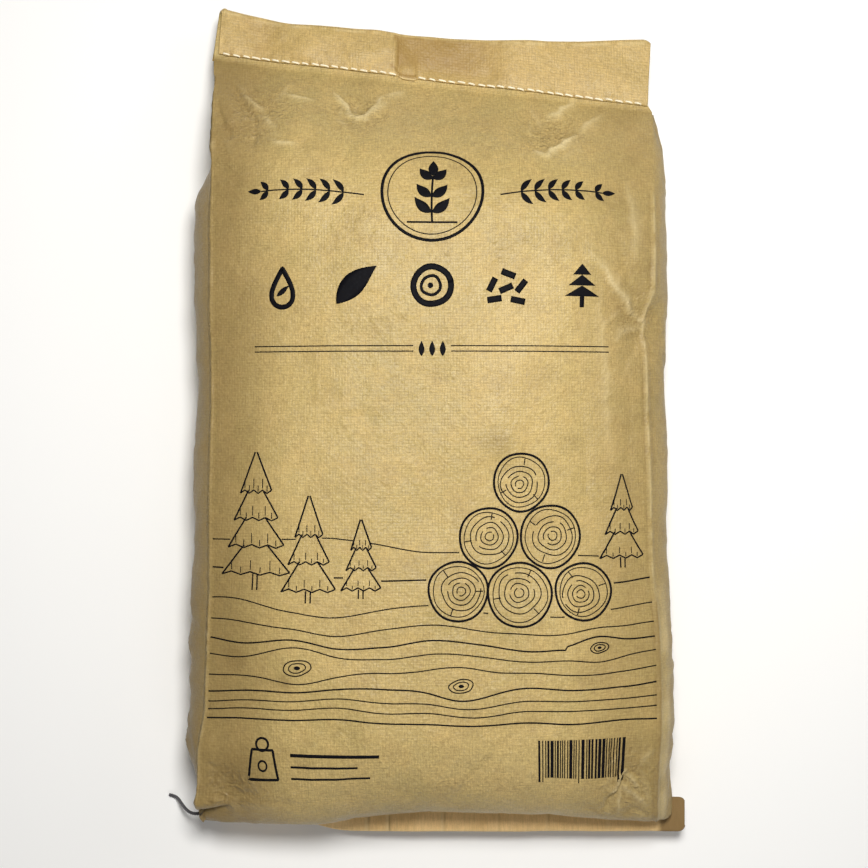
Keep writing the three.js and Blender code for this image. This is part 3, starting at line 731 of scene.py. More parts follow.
def columns(side):
    """How far across each column lies, in half panels. They crowd towards the creases."""
    if side == FRONT:
        even = np.linspace(-1, 1, FRONT_COLUMNS)
        even[[1, -2]] += 2 / (FRONT_COLUMNS - 1) * BESIDE_CREASE * np.array([-1, 1])
        return even
    even = np.linspace(-1, 1, BACK_COLUMNS)
    return mix(even, np.sin(even * np.pi / 2), BACK_CROWDING)


def from_line(x, y, start, end):
    """Where places lie by a line: the share of its length, the distance to it, and how far aside."""
    way = np.subtract(end, start)
    from_x, from_y = x - start[0], y - start[1]
    share = (from_x * way[0] + from_y * way[1]) / (way @ way)
    near = np.clip(share, 0, 1)
    aside = (from_x * way[1] - from_y * way[0]) / np.linalg.norm(way)
    return share, np.hypot(from_x - near * way[0], from_y - near * way[1]), aside


def fold_height(x, y, start, end, height, width):
    """A fold with a sharp ridge that fades out towards both of its ends."""
    along, distance, aside = from_line(x, y, start, end)
    width = width * (1 + FOLD_LEAN * np.tanh(aside / width))
    fade = np.sin(np.pi * np.clip(along * 0.9 + 0.05, 0, 1)) ** 0.6
    sharp = np.exp(-distance / width) * 0.75 + hump(distance, width) * 0.25
    return height * fade * sharp


def folds_height(x, y, folds):
    return sum(fold_height(x, y, *fold) for fold in folds)


def spots_height(x, y, spots):
    return sum(height * hump(np.hypot(x - at_x, y - at_y), width) for at_x, at_y, height, width in spots)


def mouth_shade(x, y):
    """How far inside the mouth of the pinch each place lies, from 0 to 1."""
    start, end, wide, narrow = PINCH_MOUTH
    along, distance, _ = from_line(x, y, start, end)
    return np.exp(-((distance / mix(wide, narrow, np.clip(along, 0, 1))) ** 4))


def crumple_folds():
    folds = []
    for x, y, reach, count, height in CRUMPLES:
        for _ in range(count):
            middle = np.array([x, y]) + rng.uniform(-1, 1, 2) * reach
            angle = rng.uniform(0, np.pi)
            half = rng.uniform(0.15, 0.5) * min(reach, 40) * heading(angle)
            size = height * rng.uniform(0.5, 1.2) * rng.choice([-1, 1])
            folds.append((middle - half, middle + half, size, rng.uniform(2.0, 4.5)))
    return folds


def gusset_folds(seed):
    """Creases of one gusset, closer together towards its ends. Places are up the sack and off the floor."""
    draw = np.random.default_rng(seed)
    folds = []
    for _ in range(GUSSET_FOLDS):
        share = draw.beta(0.6, 0.6)
        middle = np.array([share * ROW_SPACING, draw.uniform(15, 85)])
        angle = draw.uniform(0.25, 1.3) * (1 if share > 0.5 else -1)
        half = draw.uniform(12, 36) * heading(angle)
        size = draw.choice([-1, 1]) * draw.uniform(1.2, 2.8)
        folds.append((middle - half, middle + half, size, draw.uniform(2.0, 4.5)))
    return folds


def strip_loop(end, reach_front, reach_back):
    """A flat loop around a sewn end, with the same columns as the body's loops."""
    front, back = (
        layer(end_frame(end, columns(side)), reach, side * STRIP_THICKNESS / 2)
        for side, reach in ((FRONT, reach_front), (BACK, reach_back))
    )
    share = gusset_shares()[:, None]
    right, left = mix(front[-1], back[-1], share), mix(back[0], front[0], share)
    return np.concatenate([front, right, back[::-1], left])


def body_rows():
    """All loops of the body, and how far along it each one lies."""
    along = np.concatenate([
        np.linspace(0, 1, HEEL_ROWS, endpoint=False),
        np.linspace(1, 2, BODY_ROWS, endpoint=False),
        np.linspace(2, 3, SHOULDER_ROWS),
    ])
    across = columns(FRONT)
    front = wall(FRONT, across, along)
    back = wall(BACK, columns(BACK), along)
    flare = np.interp(front[:, 0, 1], *CORNER_FLARE)[:, None]
    front[..., 0] -= flare * smooth(-across, CORNER_FLARE_FROM, 1)
    right = gusset(front[:, -1], back[:, -1], 1, along)
    left = gusset(front[:, 0], back[:, 0], -1, along)
    kink = np.interp(front[:, -1, 1], *RIGHT_KINK)[:, None]
    front[..., 0] -= kink * smooth(across, CORNER_FLARE_FROM, 1)
    right[..., 0] -= kink * smooth(KINK_FADE - gusset_shares(), 0, KINK_FADE)
    return np.concatenate([front, right, back[:, ::-1], left[:, ::-1]], axis=1), along


def front_relief(x, y, folds):
    """Height that the dents and folds add to the front, and how much lighter the folds' ridges are, partly
    wear and partly painted highlight.
    """
    height, worn = -spots_height(x, y, FRONT_DENTS), np.zeros_like(x)
    one, two = Noise(15), Noise(16)
    x, y = (
        x + WAVER * (one.at(x / 11, y / 11) + 0.5 * one.at(x / 4, y / 4)),
        y + WAVER * (two.at(x / 11, y / 11) + 0.5 * two.at(x / 4, y / 4)),
    )
    for start, end, size, width in folds:
        added = fold_height(x, y, start, end, size * FOLD_STRENGTH, width * FOLD_NARROWING)
        height += added
        worn += np.maximum(added, 0) ** 2 / (1.6 * abs(size) + 0.5)
    return height, worn


def waves(x, y):
    """The lumps of the litter, from broad to fine, and a few sharper buckles."""
    height = COARSE.at(x / 62, y / 90) * 2.1 + MIDDLE.at(x / 27, y / 36) * 0.85
    height += FINE.at(x / 11, y / 13) * 0.26 + FINER.at(x / 5, y / 5.6) * 0.10
    buckle = 1 - np.abs(MIDDLE.at(x / 21 + 7, y / 24 + 3))
    return height + 0.5 * buckle ** 4 * smooth(COARSE.at(x / 50 + 3, y / 60), -0.3, 0.6)


def gusset_relief(x, y, z, along):
    """Short pleats and the old middle fold, creases, and how far each place is from a gusset's edges."""
    level = z / BODY_HEIGHT
    share = np.clip(level / 0.8, 0, 1)
    edge = 4 * share * (1 - share)
    pleats = COARSE.at(y / 46 + 5, level * 1.6) * 1.6 + MIDDLE.at(y / 17, level * 3 + 9) * 0.9
    pleats += FINE.at(y / 6 + 3, level * 6) * 0.35
    gathered = 1 + GUSSET_GATHER * (hump(along - 0.9, 0.5) + hump(along - 2.2, 0.35))[:, None]
    pleats = pleats * gathered + MIDDLE.at(y / 9 + 2, level * 2 + 4) * 0.8 * (gathered - 1)
    pleats = pleats * mix(1.0, 0.65, smooth(x, 0, 60)) * edge - 2.8 * np.exp(-np.abs(level - 0.42) / 0.04)
    creased = sum((x * sign > 0) * folds_height(y, z, gusset_folds(seed)) for sign, seed in GUSSET_SEEDS)
    creased *= (1 - 0.5 * hump(level - 0.4, 0.2)) * (1 - 0.75 * smooth(y, 500, 575))
    return pleats, creased, edge


def crease_places(count):
    """How far each column of a loop lies from a front crease, and how near to the right one's strip."""
    beyond = (FRONT_CREASE_HEIGHT - BACK_CREASE_HEIGHT) * gusset_shares()
    right = slice(FRONT_COLUMNS, FRONT_COLUMNS + GUSSET_COLUMNS)
    distance, beside = np.full(count, 99.0), np.zeros(count)
    distance[:FRONT_COLUMNS] = (1 - np.abs(columns(FRONT))) * CREASE_SPAN / 2
    distance[right], distance[-GUSSET_COLUMNS:] = beyond, beyond[::-1]
    beside[right] = smooth(STRIP_WIDTH - beyond, 0, 4)
    return distance, beside


def body_surface():
    loops, along = body_rows()
    normal = grid_normals(np.concatenate([loops[:, -1:], loops, loops[:, :1]], axis=1))[:, 1:-1]
    x, y, z = np.moveaxis(loops, -1, 0)
    facing = smooth(normal[..., 2], -0.15, 0.35)
    upward = smooth(normal[..., 2], -0.3, 0.2)
    side = 1 - smooth(np.abs(normal[..., 2]), 0.25, 0.8)
    above = 1 - smooth(-normal[..., 2], 0.5, 0.9)
    right = smooth(x, 0, 60)

    folded, worn = front_relief(x, y, FRONT_FOLDS + crumple_folds())
    pleats, creased, edge = gusset_relief(x, y, z, along)
    relief = (folded + waves(x, y)) * facing + side * (creased + pleats)

    # Both front creases are pressed sharp, and stand up a little where the paper is worn.
    from_crease, beside = crease_places(loops.shape[1])
    pressed = smooth(PRESSED_BELOW - y, 0, 30)
    uneven = MIDDLE.at(y / 13, 4.0)
    ridge = np.exp(-from_crease / 0.9) * mix(0.25, 1.0, pressed)
    groove = hump(from_crease - 3.2, 1.3) * mix(0.4, 1.0, right) * pressed
    relief += ridge * (0.7 + 0.5 * uneven + 0.3 * FINE.at(y / 4, 6.0)) - 0.6 * groove

    # The strips at both ends stay flat, where they are sewn, and the back lies flat on the floor.
    from_ends = np.minimum(smooth(along, 0.02, 0.3), smooth(3 - along, 0.02, 0.25))[:, None]
    pinched = folds_height(x, y, PINCH_FOLDS)
    relief = relief * from_ends + pinched * upward * smooth(along, 0.0, 0.06)[:, None]
    surface = loops + normal * (relief * above)[..., None]

    # The lower end swells over the tape.
    swell = np.interp(x, *HEEL_SWELL) * smooth(-normal[..., 1], 0.0, 0.75)
    surface[..., 1] -= swell * smooth(1 - along, 0, 0.3)[:, None] * from_ends * above
    surface[..., 2] = np.maximum(surface[..., 2], 0.05)

    low_right = smooth(x, 100, 160) * smooth(STRIP_BELOW - y, 0, 50)
    # The creases' lines are lighter, partly wear and partly painted highlight.
    crease_light = np.exp(-from_crease / 0.6) * smooth(FINE.at(y / 6, 2.0), -0.8, 0.5) * pressed
    crease_light = crease_light * mix(0.3, 1.0, np.maximum(smooth(CREASE_LIGHTER_BELOW - y, 0, 120), right))
    # Painted light: a lighter strip beside the right crease, low down.
    strip = beside * low_right * smooth(MIDDLE.at(y / 15, 7.0), -1.0, 0.2)
    # Fold ridges and the gussets' crease ridges are lighter, partly wear and partly painted highlight.
    wear_and_light = worn * facing + crease_light * (1 - 0.8 * low_right) + 0.5 * strip
    wear_and_light = wear_and_light + 0.25 * side * np.maximum(creased, 0)
    # Painted shade: a shadow just beside the right crease, both sides of the front, and the gussets, the
    # left one more so lower down.
    dirt_and_shade = 0.45 * hump(from_crease - 2.8, 1.2) * smooth(uneven, -0.8, 0.5) * (x > 0) * pressed
    dirt_and_shade = dirt_and_shade + (0.85 * smooth(-x, 110, 178) + 0.5 * smooth(x, 105, 170)) * (facing > 0.2)
    dirt_and_shade = dirt_and_shade + side * (0.1 + 0.45 * (x < 0) * smooth(260 - y, 0, 240))
    # Painted shade on the right crease low down, and less of it on the strip beside it.
    dirt_and_shade = dirt_and_shade + low_right * (0.6 * np.exp(-from_crease / 1.2) - 0.35 * beside)
    # Painted shade in the valleys of the pinch and in its mouth.
    dirt_and_shade = dirt_and_shade + np.abs(np.minimum(pinched, 0)) / 4 + 1.2 * mouth_shade(x, y) * upward
    dirt_and_shade = dirt_and_shade + spots_height(x, y, SMUDGES) * facing
    spots = [(at_x, at_y, height * CRINKLE, reach * 0.9) for at_x, at_y, reach, _, height in CRUMPLES]
    crinkled = np.clip(spots_height(x, y, spots), 0, 1)
    marks = {
        "wear_and_light": np.clip(wear_and_light, 0, 1),
        "dirt_and_shade": np.clip(dirt_and_shade, 0, 1),
        "crinkle": np.maximum(crinkled * facing, 0.5 * side * edge),
    }
    return surface, loops, along, marks


SHOULDER_STRETCH, STRIP_STEP, STRIP_RAKE, STRIP_RAKE_RIGHT = 1.12, 6, 4.5, 0.6
STRIP_END = 4
FLAP_END_FROM = 0.93


def panel_lengths(base, first, along):
    """How far up the flat panel each point lies, from the row of stitches at the bottom."""
    around_heel = distances(base)
    around_heel = around_heel - around_heel[first + HEEL_ROWS] + HEEL_LENGTH
    middle, last = FRONT_COLUMNS // 2, first + len(along)
    rising = slice(first + HEEL_ROWS // 2, last)
    heights = base[rising, middle, 1]
    level = np.interp(base[..., 1], heights, around_heel[rising, middle])
    level += np.maximum(base[..., 1] - heights[-1], 0) * SHOULDER_STRETCH
    share = np.zeros(len(base))
    share[first:last] = smooth(along, 0.6, 1.0)
    share[last:] = 1
    result = mix(around_heel, level, share[:, None])
    result[last:] = result[last - 1] + np.arange(1, len(base) - last + 1)[:, None] * STRIP_STEP
    return result


def build_body():
    surface, base, along, marks = body_surface()
    lower = [
        strip_loop(BOTTOM, reach, reach) for reach in (HEM_LENGTH, HEM_LENGTH * 0.66, HEM_LENGTH / 3, 0)
    ]
    upper = []
    for share in np.linspace(0, 1, 6):
        reach = [share * (flap_height(columns(side)) - STRIP_END) for side in (FRONT, BACK)]
        loop = strip_loop(MOUTH, *reach)
        nearly = loop[:, 0] / HALF_PANEL
        loop[:, 0] += STRIP_RAKE * share * smooth(-nearly, FLAP_END_FROM, 1.0)
        loop[:, 0] -= STRIP_RAKE * STRIP_RAKE_RIGHT * (1 - share) * smooth(nearly, FLAP_END_FROM, 1.0)
        upper.append(loop)
    grid = np.concatenate([lower, surface, upper])
    rows, around = grid.shape[:2]
    lengths = panel_lengths(np.concatenate([lower, base, upper]), len(lower), along)
    girth = distances(grid[rows // 2])
    uv = np.stack([np.broadcast_to(girth, (rows, around)), lengths], -1) / 1000
    piece = make_object("sack_body", to_frame(grid.reshape(-1, 3)), looped_faces(rows, around), uv)
    for name, values in marks.items():
        store(piece, name, np.pad(values, ((len(lower), len(upper)), (0, 0))))
    return piece, surface, lengths[len(lower):len(lower) + len(surface)]


sack_body, body_grid, body_lengths = build_body()
# The last tone is for smudges and for the painted shade at the sides, on the gussets, by the creases and in
# the pinch.
sack_body.data.materials.append(kraft(
    "kraft_film", colour(214, 188, 123), colour(198, 175, 111), colour(222, 190, 121), colour(112, 88, 48),
))
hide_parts("sack")
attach(sack_body, BODY)


# The mouth, folded over to the front and sewn down.
FLAP_COLUMNS = 401
BACK_FACE, FRONT_FACE, FOLD_PUFF, HEM_SHOWN = 1.9, 3.1, 0.9, 1.1
# The recess: where it starts and ends, how deep it lies, and how strongly it is painted darker as shade.
RECESS_START, RECESS_END, RECESS_DEPTH, RECESS_SHADE = -31, 57, 2.6, 0.85
KINK_HALF_WIDTH = 1.6
PUCKER_START, PUCKER_CORNER, PUCKER_END, PUCKER_RISE, PUCKER_LIFT = -36, -28, -12, 7, 1.8
CORNER_ROUND, CORNER_REACH = 3.4, 7.0
TOP_DIP, TOP_DIP_AT, TOP_DIP_WIDTH = 2.6, -129, 34
TOP_RISE, TOP_RISE_AT, TOP_RISE_WIDTH = 1.0, -48, 14
SOFT_DENTS = [(-150, 2.6, 13), (-112, -1.2, 14), (-62, -1.4, 18), (98, 1.5, 20), (146, -1.0, 16)]

# How far the flap's ends and those of the layer behind it are drawn in: left and right, each at the
# stitches and at the fold.
FLAP_INSETS = ((4.5, 7.0), (3.6, 0.0))
STRIP_INSETS = ((-1.5, 4.5), (4.2, 0.6))


def inset(across, share, insets):
    left, right = insets
    drawn_in = mix(*left, share) * smooth(-across, FLAP_END_FROM, 1.0)
    return drawn_in - mix(*right, share) * smooth(across, 0.95, 1.0)


def pucker_line(half):
    """How far above the stitches the flap is puckered: down a slant, then along the stitches."""
    return PUCKER_RISE * smooth(PUCKER_CORNER - half, 0, PUCKER_CORNER - PUCKER_START) + 0.3


def flap_dirt_and_shade(half, reach, nearest):
    """Dark spots at some of the needle holes, and painted shade: the shadow line of the pucker, the kink's
    crease, soft bands across the flap and the recess.
    """
    chosen = smooth(Noise(23).at(half / MOUTH_STITCH_PITCH / 2, 4.0), 0.1, 0.4)
    holes = 1.4 * chosen * hump(nearest, 1.2) * hump(reach - 0.6, 1.7)
    shown = smooth(half, PUCKER_START - 2, PUCKER_START) * smooth(PUCKER_END - half, 0, 3)
    pucker = 1.3 * shown * hump(reach - pucker_line(half), 1.5)
    crease = 0.5 * hump(half - RECESS_START - 1.0, 2.4) * smooth(reach, 4, 12)
    crease = crease + 0.8 * hump(half - RECESS_START + 2.0, 1.2) * smooth(reach, 26, 34)
    shade = 0.35 * hump(half + 152, 20) + 0.15 * hump(half - 30, 90)
    # The recess is painted darker, as shade.
    recess_shade = smooth(half, RECESS_START - 3, RECESS_START + 3)
    recess_shade = recess_shade * (1 - smooth(half, RECESS_END - 40, RECESS_END + 20)) * smooth(reach, -2, 16)
    return holes + pucker + crease + shade + RECESS_SHADE * recess_shade


def across_places(pitch):
    """Where the needle holes of a row lie, in half panels."""
    count = int((PANEL_WIDTH - 2 * ROW_INSET) // pitch)
    return (-(count * pitch) / 2 + pitch * np.arange(count + 1)) / HALF_PANEL


def build_flap():
    across = np.linspace(-1, 1, FLAP_COLUMNS)
    half = across * HALF_PANEL
    end_rows = end_frame(MOUTH, across)
    wobble, ripple = Noise(21), Noise(22)
    radius = (FRONT_FACE + BACK_FACE) / 2
    recess = smooth(half, RECESS_START - KINK_HALF_WIDTH, RECESS_START + KINK_HALF_WIDTH)
    recess = recess * (1 - smooth(half, RECESS_END - 9, RECESS_END + 9))
    kink = np.exp(-np.abs(half - RECESS_START + 2.5) / 2.2)
    dents = sum(depth * hump(half - at, width) for at, depth, width in SOFT_DENTS)
    nearest = np.abs(half[:, None] - across_places(MOUTH_STITCH_PITCH) * HALF_PANEL).min(axis=1)
    puckered = smooth(half, PUCKER_CORNER - 3, PUCKER_CORNER + 3) * smooth(PUCKER_END - half, 0, 5)
    lipped = 0.7 * smooth(half, PUCKER_START, PUCKER_CORNER) * smooth(PUCKER_END - half, 0, 4)
    hem = HEM_SHOWN + 0.25 * wobble.at(half / 9, 3.0) + 2.2 * puckered
    rounded = np.maximum(0, 1 - (HALF_PANEL - np.abs(half)) / CORNER_REACH)
    height = flap_height(across) - CORNER_ROUND * rounded ** 2
    height = height - TOP_DIP * hump(half - TOP_DIP_AT, TOP_DIP_WIDTH)
    height = height + TOP_RISE * hump(half - TOP_RISE_AT, TOP_RISE_WIDTH)
    section, dirt_and_shade_rows, wear_and_light_rows = [], [], []
    for share in np.linspace(0, 1, 30):
        reach = mix(-hem, height - radius, share)
        folded = reach - pucker_line(half)
        puff = FOLD_PUFF * np.sin(np.pi * share) * (1 + 0.5 * wobble.at(half / 34, share * 2))
        level = FRONT_FACE + puff - hump(reach, 5.0) * (0.9 + 0.35 * hump(nearest, 1.8))
        level = level - recess * RECESS_DEPTH * mix(1.0, 0.45, share) * smooth(reach, -2, 9)
        level = level + 0.9 * kink * np.sin(np.pi * mix(0.15, 0.85, share)) - dents * np.sin(np.pi * share)
        level = level + PUCKER_LIFT * puckered * smooth(folded, -0.6, 0.6) * smooth(14 - folded, 0, 10)
        level = level + 0.7 * ripple.at(half / 17, share * 3 + 7) + 0.25 * ripple.at(half / 6, share * 6)
        section.append(layer(end_rows, reach, level, inset(across, share, FLAP_INSETS)))
        dirt_and_shade_rows.append(flap_dirt_and_shade(half, reach, nearest))
        edge_wear = 0.55 * smooth(share, 0.93, 1.0) * smooth(wobble.at(half / 5, 1.0), -0.4, 0.6)
        # The lip under the pucker is painted lighter, as a highlight.
        wear_and_light_rows.append(edge_wear + lipped * hump(folded + 2.2, 1.0))
    for turn in np.linspace(0, np.pi, 10)[1:-1]:
        reach = height - radius + radius * np.sin(turn) + 0.4 * wobble.at(half / 21, 9.0)
        around = (level - BACK_FACE) / 2 + (level + BACK_FACE) / 2 * np.cos(turn)
        aside = mix(inset(across, 1, FLAP_INSETS), inset(across, 1, STRIP_INSETS), turn / np.pi)
        section.append(layer(end_rows, reach, around, aside))
    for share in np.linspace(1, 0, 10):
        reach = mix(-END_MARGIN + 0.3, height - radius, share)
        section.append(layer(end_rows, reach, -BACK_FACE, inset(across, share, STRIP_INSETS)))
    grid = np.array(section)
    lengths = distances(grid)
    uv = np.stack([np.broadcast_to(half, lengths.shape), lengths + 0.9], -1) / 1000
    plain = [np.zeros_like(half)] * (len(grid) - len(dirt_and_shade_rows))
    marks = {"dirt_and_shade": np.array(dirt_and_shade_rows + plain)[:, ::-1], "wear_and_light": np.array(wear_and_light_rows + plain)[:, ::-1]}
    return shell("mouth_flap", grid[:, ::-1], FLAP_THICKNESS, uv[:, ::-1], marks)


mouth_flap = build_flap()
# The last tone is for the dirt at needle holes and for the painted shade of the pucker, the kink, the bands
# and the recess.
mouth_flap.data.materials.append(kraft(
    "kraft_film_outer",
    colour(216, 186, 121), colour(203, 175, 110), colour(224, 190, 122), colour(132, 98, 34),
))
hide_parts("sack")
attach(mouth_flap, BODY)


# The print: thin films of ink that follow the front. Places are in millimetres on the flat panel,
# across from its middle and up from the row of stitches at the bottom.
INK_RISE, INK_ROOT, INK_STEP = 0.16, 0.5, 2.4


class Panel:
    """Finds the place of the flat panel's points on the filled sack."""

    def __init__(self, surface, lengths):
        self.front = surface[:, :FRONT_COLUMNS]
        self.normals = grid_normals(self.front)
        self.first = float(lengths[0, :FRONT_COLUMNS].max())
        self.up = np.arange(self.first, float(lengths[-1, :FRONT_COLUMNS].min()), 1.0)
        rows = np.arange(len(self.front))
        self.rows = np.stack([np.interp(self.up, lengths[:, c], rows) for c in range(FRONT_COLUMNS)], 1)

    def at(self, points):
        column = (points[..., 0] / PANEL_WIDTH + 0.5) * (FRONT_COLUMNS - 1)
        column = np.clip(column, 0, FRONT_COLUMNS - 1.001)
        height = np.clip(points[..., 1] - self.first, 0, len(self.up) - 1.001)
        row = self.read(self.rows, height, column)
        return self.read(self.front, row, column), unit(self.read(self.normals, row, column))

    @staticmethod
    def read(table, row, column):
        i, j = np.floor(row).astype(int), np.floor(column).astype(int)
        u, v = row - i, column - j
        if table.ndim == 3:
            u, v = u[..., None], v[..., None]
        return mix(mix(table[i, j], table[i, j + 1], v), mix(table[i + 1, j], table[i + 1, j + 1], v), u)


class Ink(Heap):
    """Draws on the panel with closed films of ink."""

    def __init__(self, panel):
        super().__init__()
        self.panel = panel

    def film(self, flat):
        """A film over a grid of flat points, rows by columns."""
        place, normal = self.panel.at(flat)
        self.add(*closed_sheet(place + normal * INK_RISE, place - normal * INK_ROOT))

    def stroke(self, points, width, closed=False, lanes=0):
        """A line of ink. The width is one number, or one for each point."""
        points = np.asarray(points, float)
        width = np.broadcast_to(np.asarray(width, float), len(points))
        if closed:
            points, width = np.vstack([points, points[:1]]), np.append(width, width[0])
        gone = distances(points)
        if gone[-1] < 0.5:
            return
        count = max(2, int(math.ceil(gone[-1] / INK_STEP)) + 1)
        # Corners stay where they are, so the points themselves are kept among the even steps.
        marks = np.unique(np.concatenate([np.linspace(0, gone[-1], count), gone]))
        marks = marks[np.concatenate([[True], np.diff(marks) > 0.05])]
        line = np.stack([np.interp(marks, gone, points[:, 0]), np.interp(marks, gone, points[:, 1])], -1)
        wide = np.interp(marks, gone, width) / 2
        if closed:
            step = np.roll(line[:-1], -1, axis=0) - np.roll(line[:-1], 1, axis=0)
            step = np.vstack([step, step[:1]])
        else:
            step = np.gradient(line, axis=0)
        aside = np.stack([-step[:, 1], step[:, 0]], -1)
        aside /= np.maximum(np.linalg.norm(step, axis=1), 1e-6)[:, None]
        lanes = lanes or max(1, int(np.ceil(2 * wide.max() / INK_STEP)))
        offset = np.linspace(-1, 1, lanes + 1)
        self.film(line[:, None] - aside[:, None] * (wide[:, None] * offset)[..., None])

    def disc(self, centre, radius, squash=1.0):
        rings = np.linspace(0, 1, max(3, int(radius / INK_STEP) + 2))
        angle = np.linspace(0, 2 * np.pi, max(16, int(2 * np.pi * radius / INK_STEP)))
        flat = np.stack([np.cos(angle), squash * np.sin(angle)], -1)
        self.film(np.asarray(centre) + radius * np.maximum(rings, 0.02)[:, None, None] * flat)

    def leaf(self, start, end, width, bend=0.0):
        t = np.linspace(0, 1, 14)
        self.stroke(bow(start, end, bend, t), width * np.maximum(np.sin(np.pi * t ** 0.85), 0.03), lanes=4)


def bow(start, end, bend, t):
    """Points of a shallow bow between two places."""
    way = np.subtract(end, start)
    return start + way * t[:, None] + np.array([-way[1], way[0]]) * (bend * 4 * t * (1 - t))[:, None]


def rotated(x, y, turn):
    c, s = heading(turn)
    return np.stack([c * x - s * y, s * x + c * y], -1)


def ring(centre, radius, squash=1.0, turn=0.0, wobble=0.0, seed=0, start=0.0, end=2 * math.pi):
    angle = np.linspace(start, end, 49)
    wavy = 1 + wobble * np.sin(3 * angle + seed) + 0.6 * wobble * np.sin(5 * angle + 2.1 * seed)
    return centre + rotated(radius * wavy * np.cos(angle), radius * squash * wavy * np.sin(angle), turn)


def pieces_outside(points, hidden):
    """Cuts a line where it would run behind something, and gives the parts that show."""
    shown = ~hidden(points[:, 0], points[:, 1])
    ends = np.flatnonzero(np.diff(np.concatenate([[False], shown, [False]]).astype(int)))
    runs = [(start, end) for start, end in ends.reshape(-1, 2) if end - start > 2 + (end == len(points))]
    return [points[start:end] for start, end in runs]


def sprig(ink, root, tip, count, leaf_length, leaf_width, line_width, bend=0.12):
    """A stem with pairs of leaves."""
    stem = bow(root, tip, bend, np.linspace(0, 1, 16))
    ink.stroke(stem, line_width)
    direction = unit(np.subtract(tip, root))
    for i in range(count):
        place = stem[int(3 + i * 11 / max(count - 1, 1))]
        for sign in (-1, 1):
            size = leaf_length * (1 - 0.35 * i / count)
            ink.leaf(place, place + rotated(*direction, sign * 0.85) * size, leaf_width, 0.08 * sign)
    ink.leaf(stem[-1], stem[-1] + direction * leaf_length * 0.8, leaf_width)


def emblem(ink, x, y, radius):
    ink.stroke(ring((x, y), radius, 0.97, 0.1, 0.004, 1), 2.6, closed=True)
    ink.stroke(ring((x, y), radius * 0.88, 0.97, 0.1, 0.004, 2), 0.9, closed=True)
    foot = y - radius * 0.62
    sprig(ink, (x, foot), (x + 1, y + radius * 0.36), 3, radius * 0.46, radius * 0.2, 1.8, 0.02)
    ink.stroke([(x - radius * 0.5, foot), (x + radius * 0.5, foot)], 1.6)


PELLETS = ((-11, -11, 0.15), (9, -12, -0.2), (-1, -2, 0.4), (-13, 1, 1.1), (12, 0, 0.9), (1, 10, -0.35))


def bold_row(ink, y):
    """Five plain bold signs: a drop, a leaf, a log's end, a heap of pellets and a fir."""
    drop_x, leaf_x, log_x, heap_x, fir_x = -128, -64, 0, 64, 128
    t = np.linspace(0, 2 * np.pi, 40)
    drop = np.stack([drop_x + 13 * np.sin(t) * np.sin(t / 2) ** 1.3, y + 16 * np.cos(t) - 1], -1)
    ink.stroke(drop, 4.2, closed=True)
    ink.leaf((drop_x - 5, y - 8), (drop_x + 6, y + 1), 4.5)
    ink.leaf((leaf_x - 17, y - 15), (leaf_x + 17, y + 16), 19, 0.05)
    ink.stroke(ring((log_x, y), 16, 0.96, 0.2, 0.015, 3), 5.2, closed=True)
    ink.stroke(ring((log_x - 1, y), 8.2, 0.95, 0.4, 0.03, 5), 2.6, closed=True)
    ink.disc((log_x - 1.5, y), 2.4)
    for dx, dy, turn in PELLETS:
        middle, way = np.array([heap_x + dx, y + dy]), heading(turn) * 6.2
        ink.stroke([middle - way, middle + way], 5.4)
    up = np.linspace(0, 2, 13)
    for level, half in ((-8, 15), (1, 11.5), (10, 7.5)):
        tier = np.stack([np.full(13, float(fir_x)), y + level + 4.4 * up], -1)
        ink.stroke(tier, 2 * half * (1 - up / 2) + 0.6, lanes=6)
    ink.stroke([(fir_x, y - 17), (fir_x, y - 7)], 4)


def ruled_row(ink, y):
    for rise in (0, 4.5):
        for side in (-1, 1):
            ink.stroke([(side * 16, y + rise), (side * 152, y + rise)], 0.9)
    for x in (-9, 0, 9):
        ink.leaf((x, y - 4), (x, y + 8.5), 5)


# Logs: middle and radius. Firs: foot, height and number of tiers. Knots: middle and size.
LOGS = [(22, 196, 25), (74, 193, 27), (128, 195, 24), (48, 240, 25), (101, 241, 26), (76, 286, 24)]
FIRS = [(-150, 196, 112, 4), (-104, 186, 84, 3), (-60, 190, 62, 3), (164, 214, 74, 3)]
KNOTS = [(-112, 132, 15), (24, 118, 13), (140, 148, 10)]


def log_stack(ink):
    """A stack of sawn logs, end on, with their rings."""
    for seed, (x, y, radius) in enumerate(LOGS):
        ink.stroke(ring((x, y), radius, 0.98, 0.3 * seed, 0.014, seed), 1.9, closed=True)
        ink.stroke(ring((x, y), radius * 0.86, 0.97, 0.3 * seed, 0.02, seed + 1), 0.8, closed=True)
        heart = (x + 2.5 * math.cos(seed * 1.7), y + 2 * math.sin(seed * 2.3))
        for i, share in enumerate((0.66, 0.47, 0.3, 0.15)):
            gap = 0.5 + 0.8 * ((seed * 7 + i * 3) % 5)
            span = 2 * math.pi - 0.35 - 0.1 * i
            ink.stroke(ring(heart, radius * share, 0.95, 0.2 * i, 0.03, seed + i, gap, gap + span), 0.9)
        for i in range(3):
            way = heading(seed * 1.1 + i * 2.2) * radius
            ink.stroke([(x, y) + way * 0.84, (x, y) + way * 0.6], 0.9)


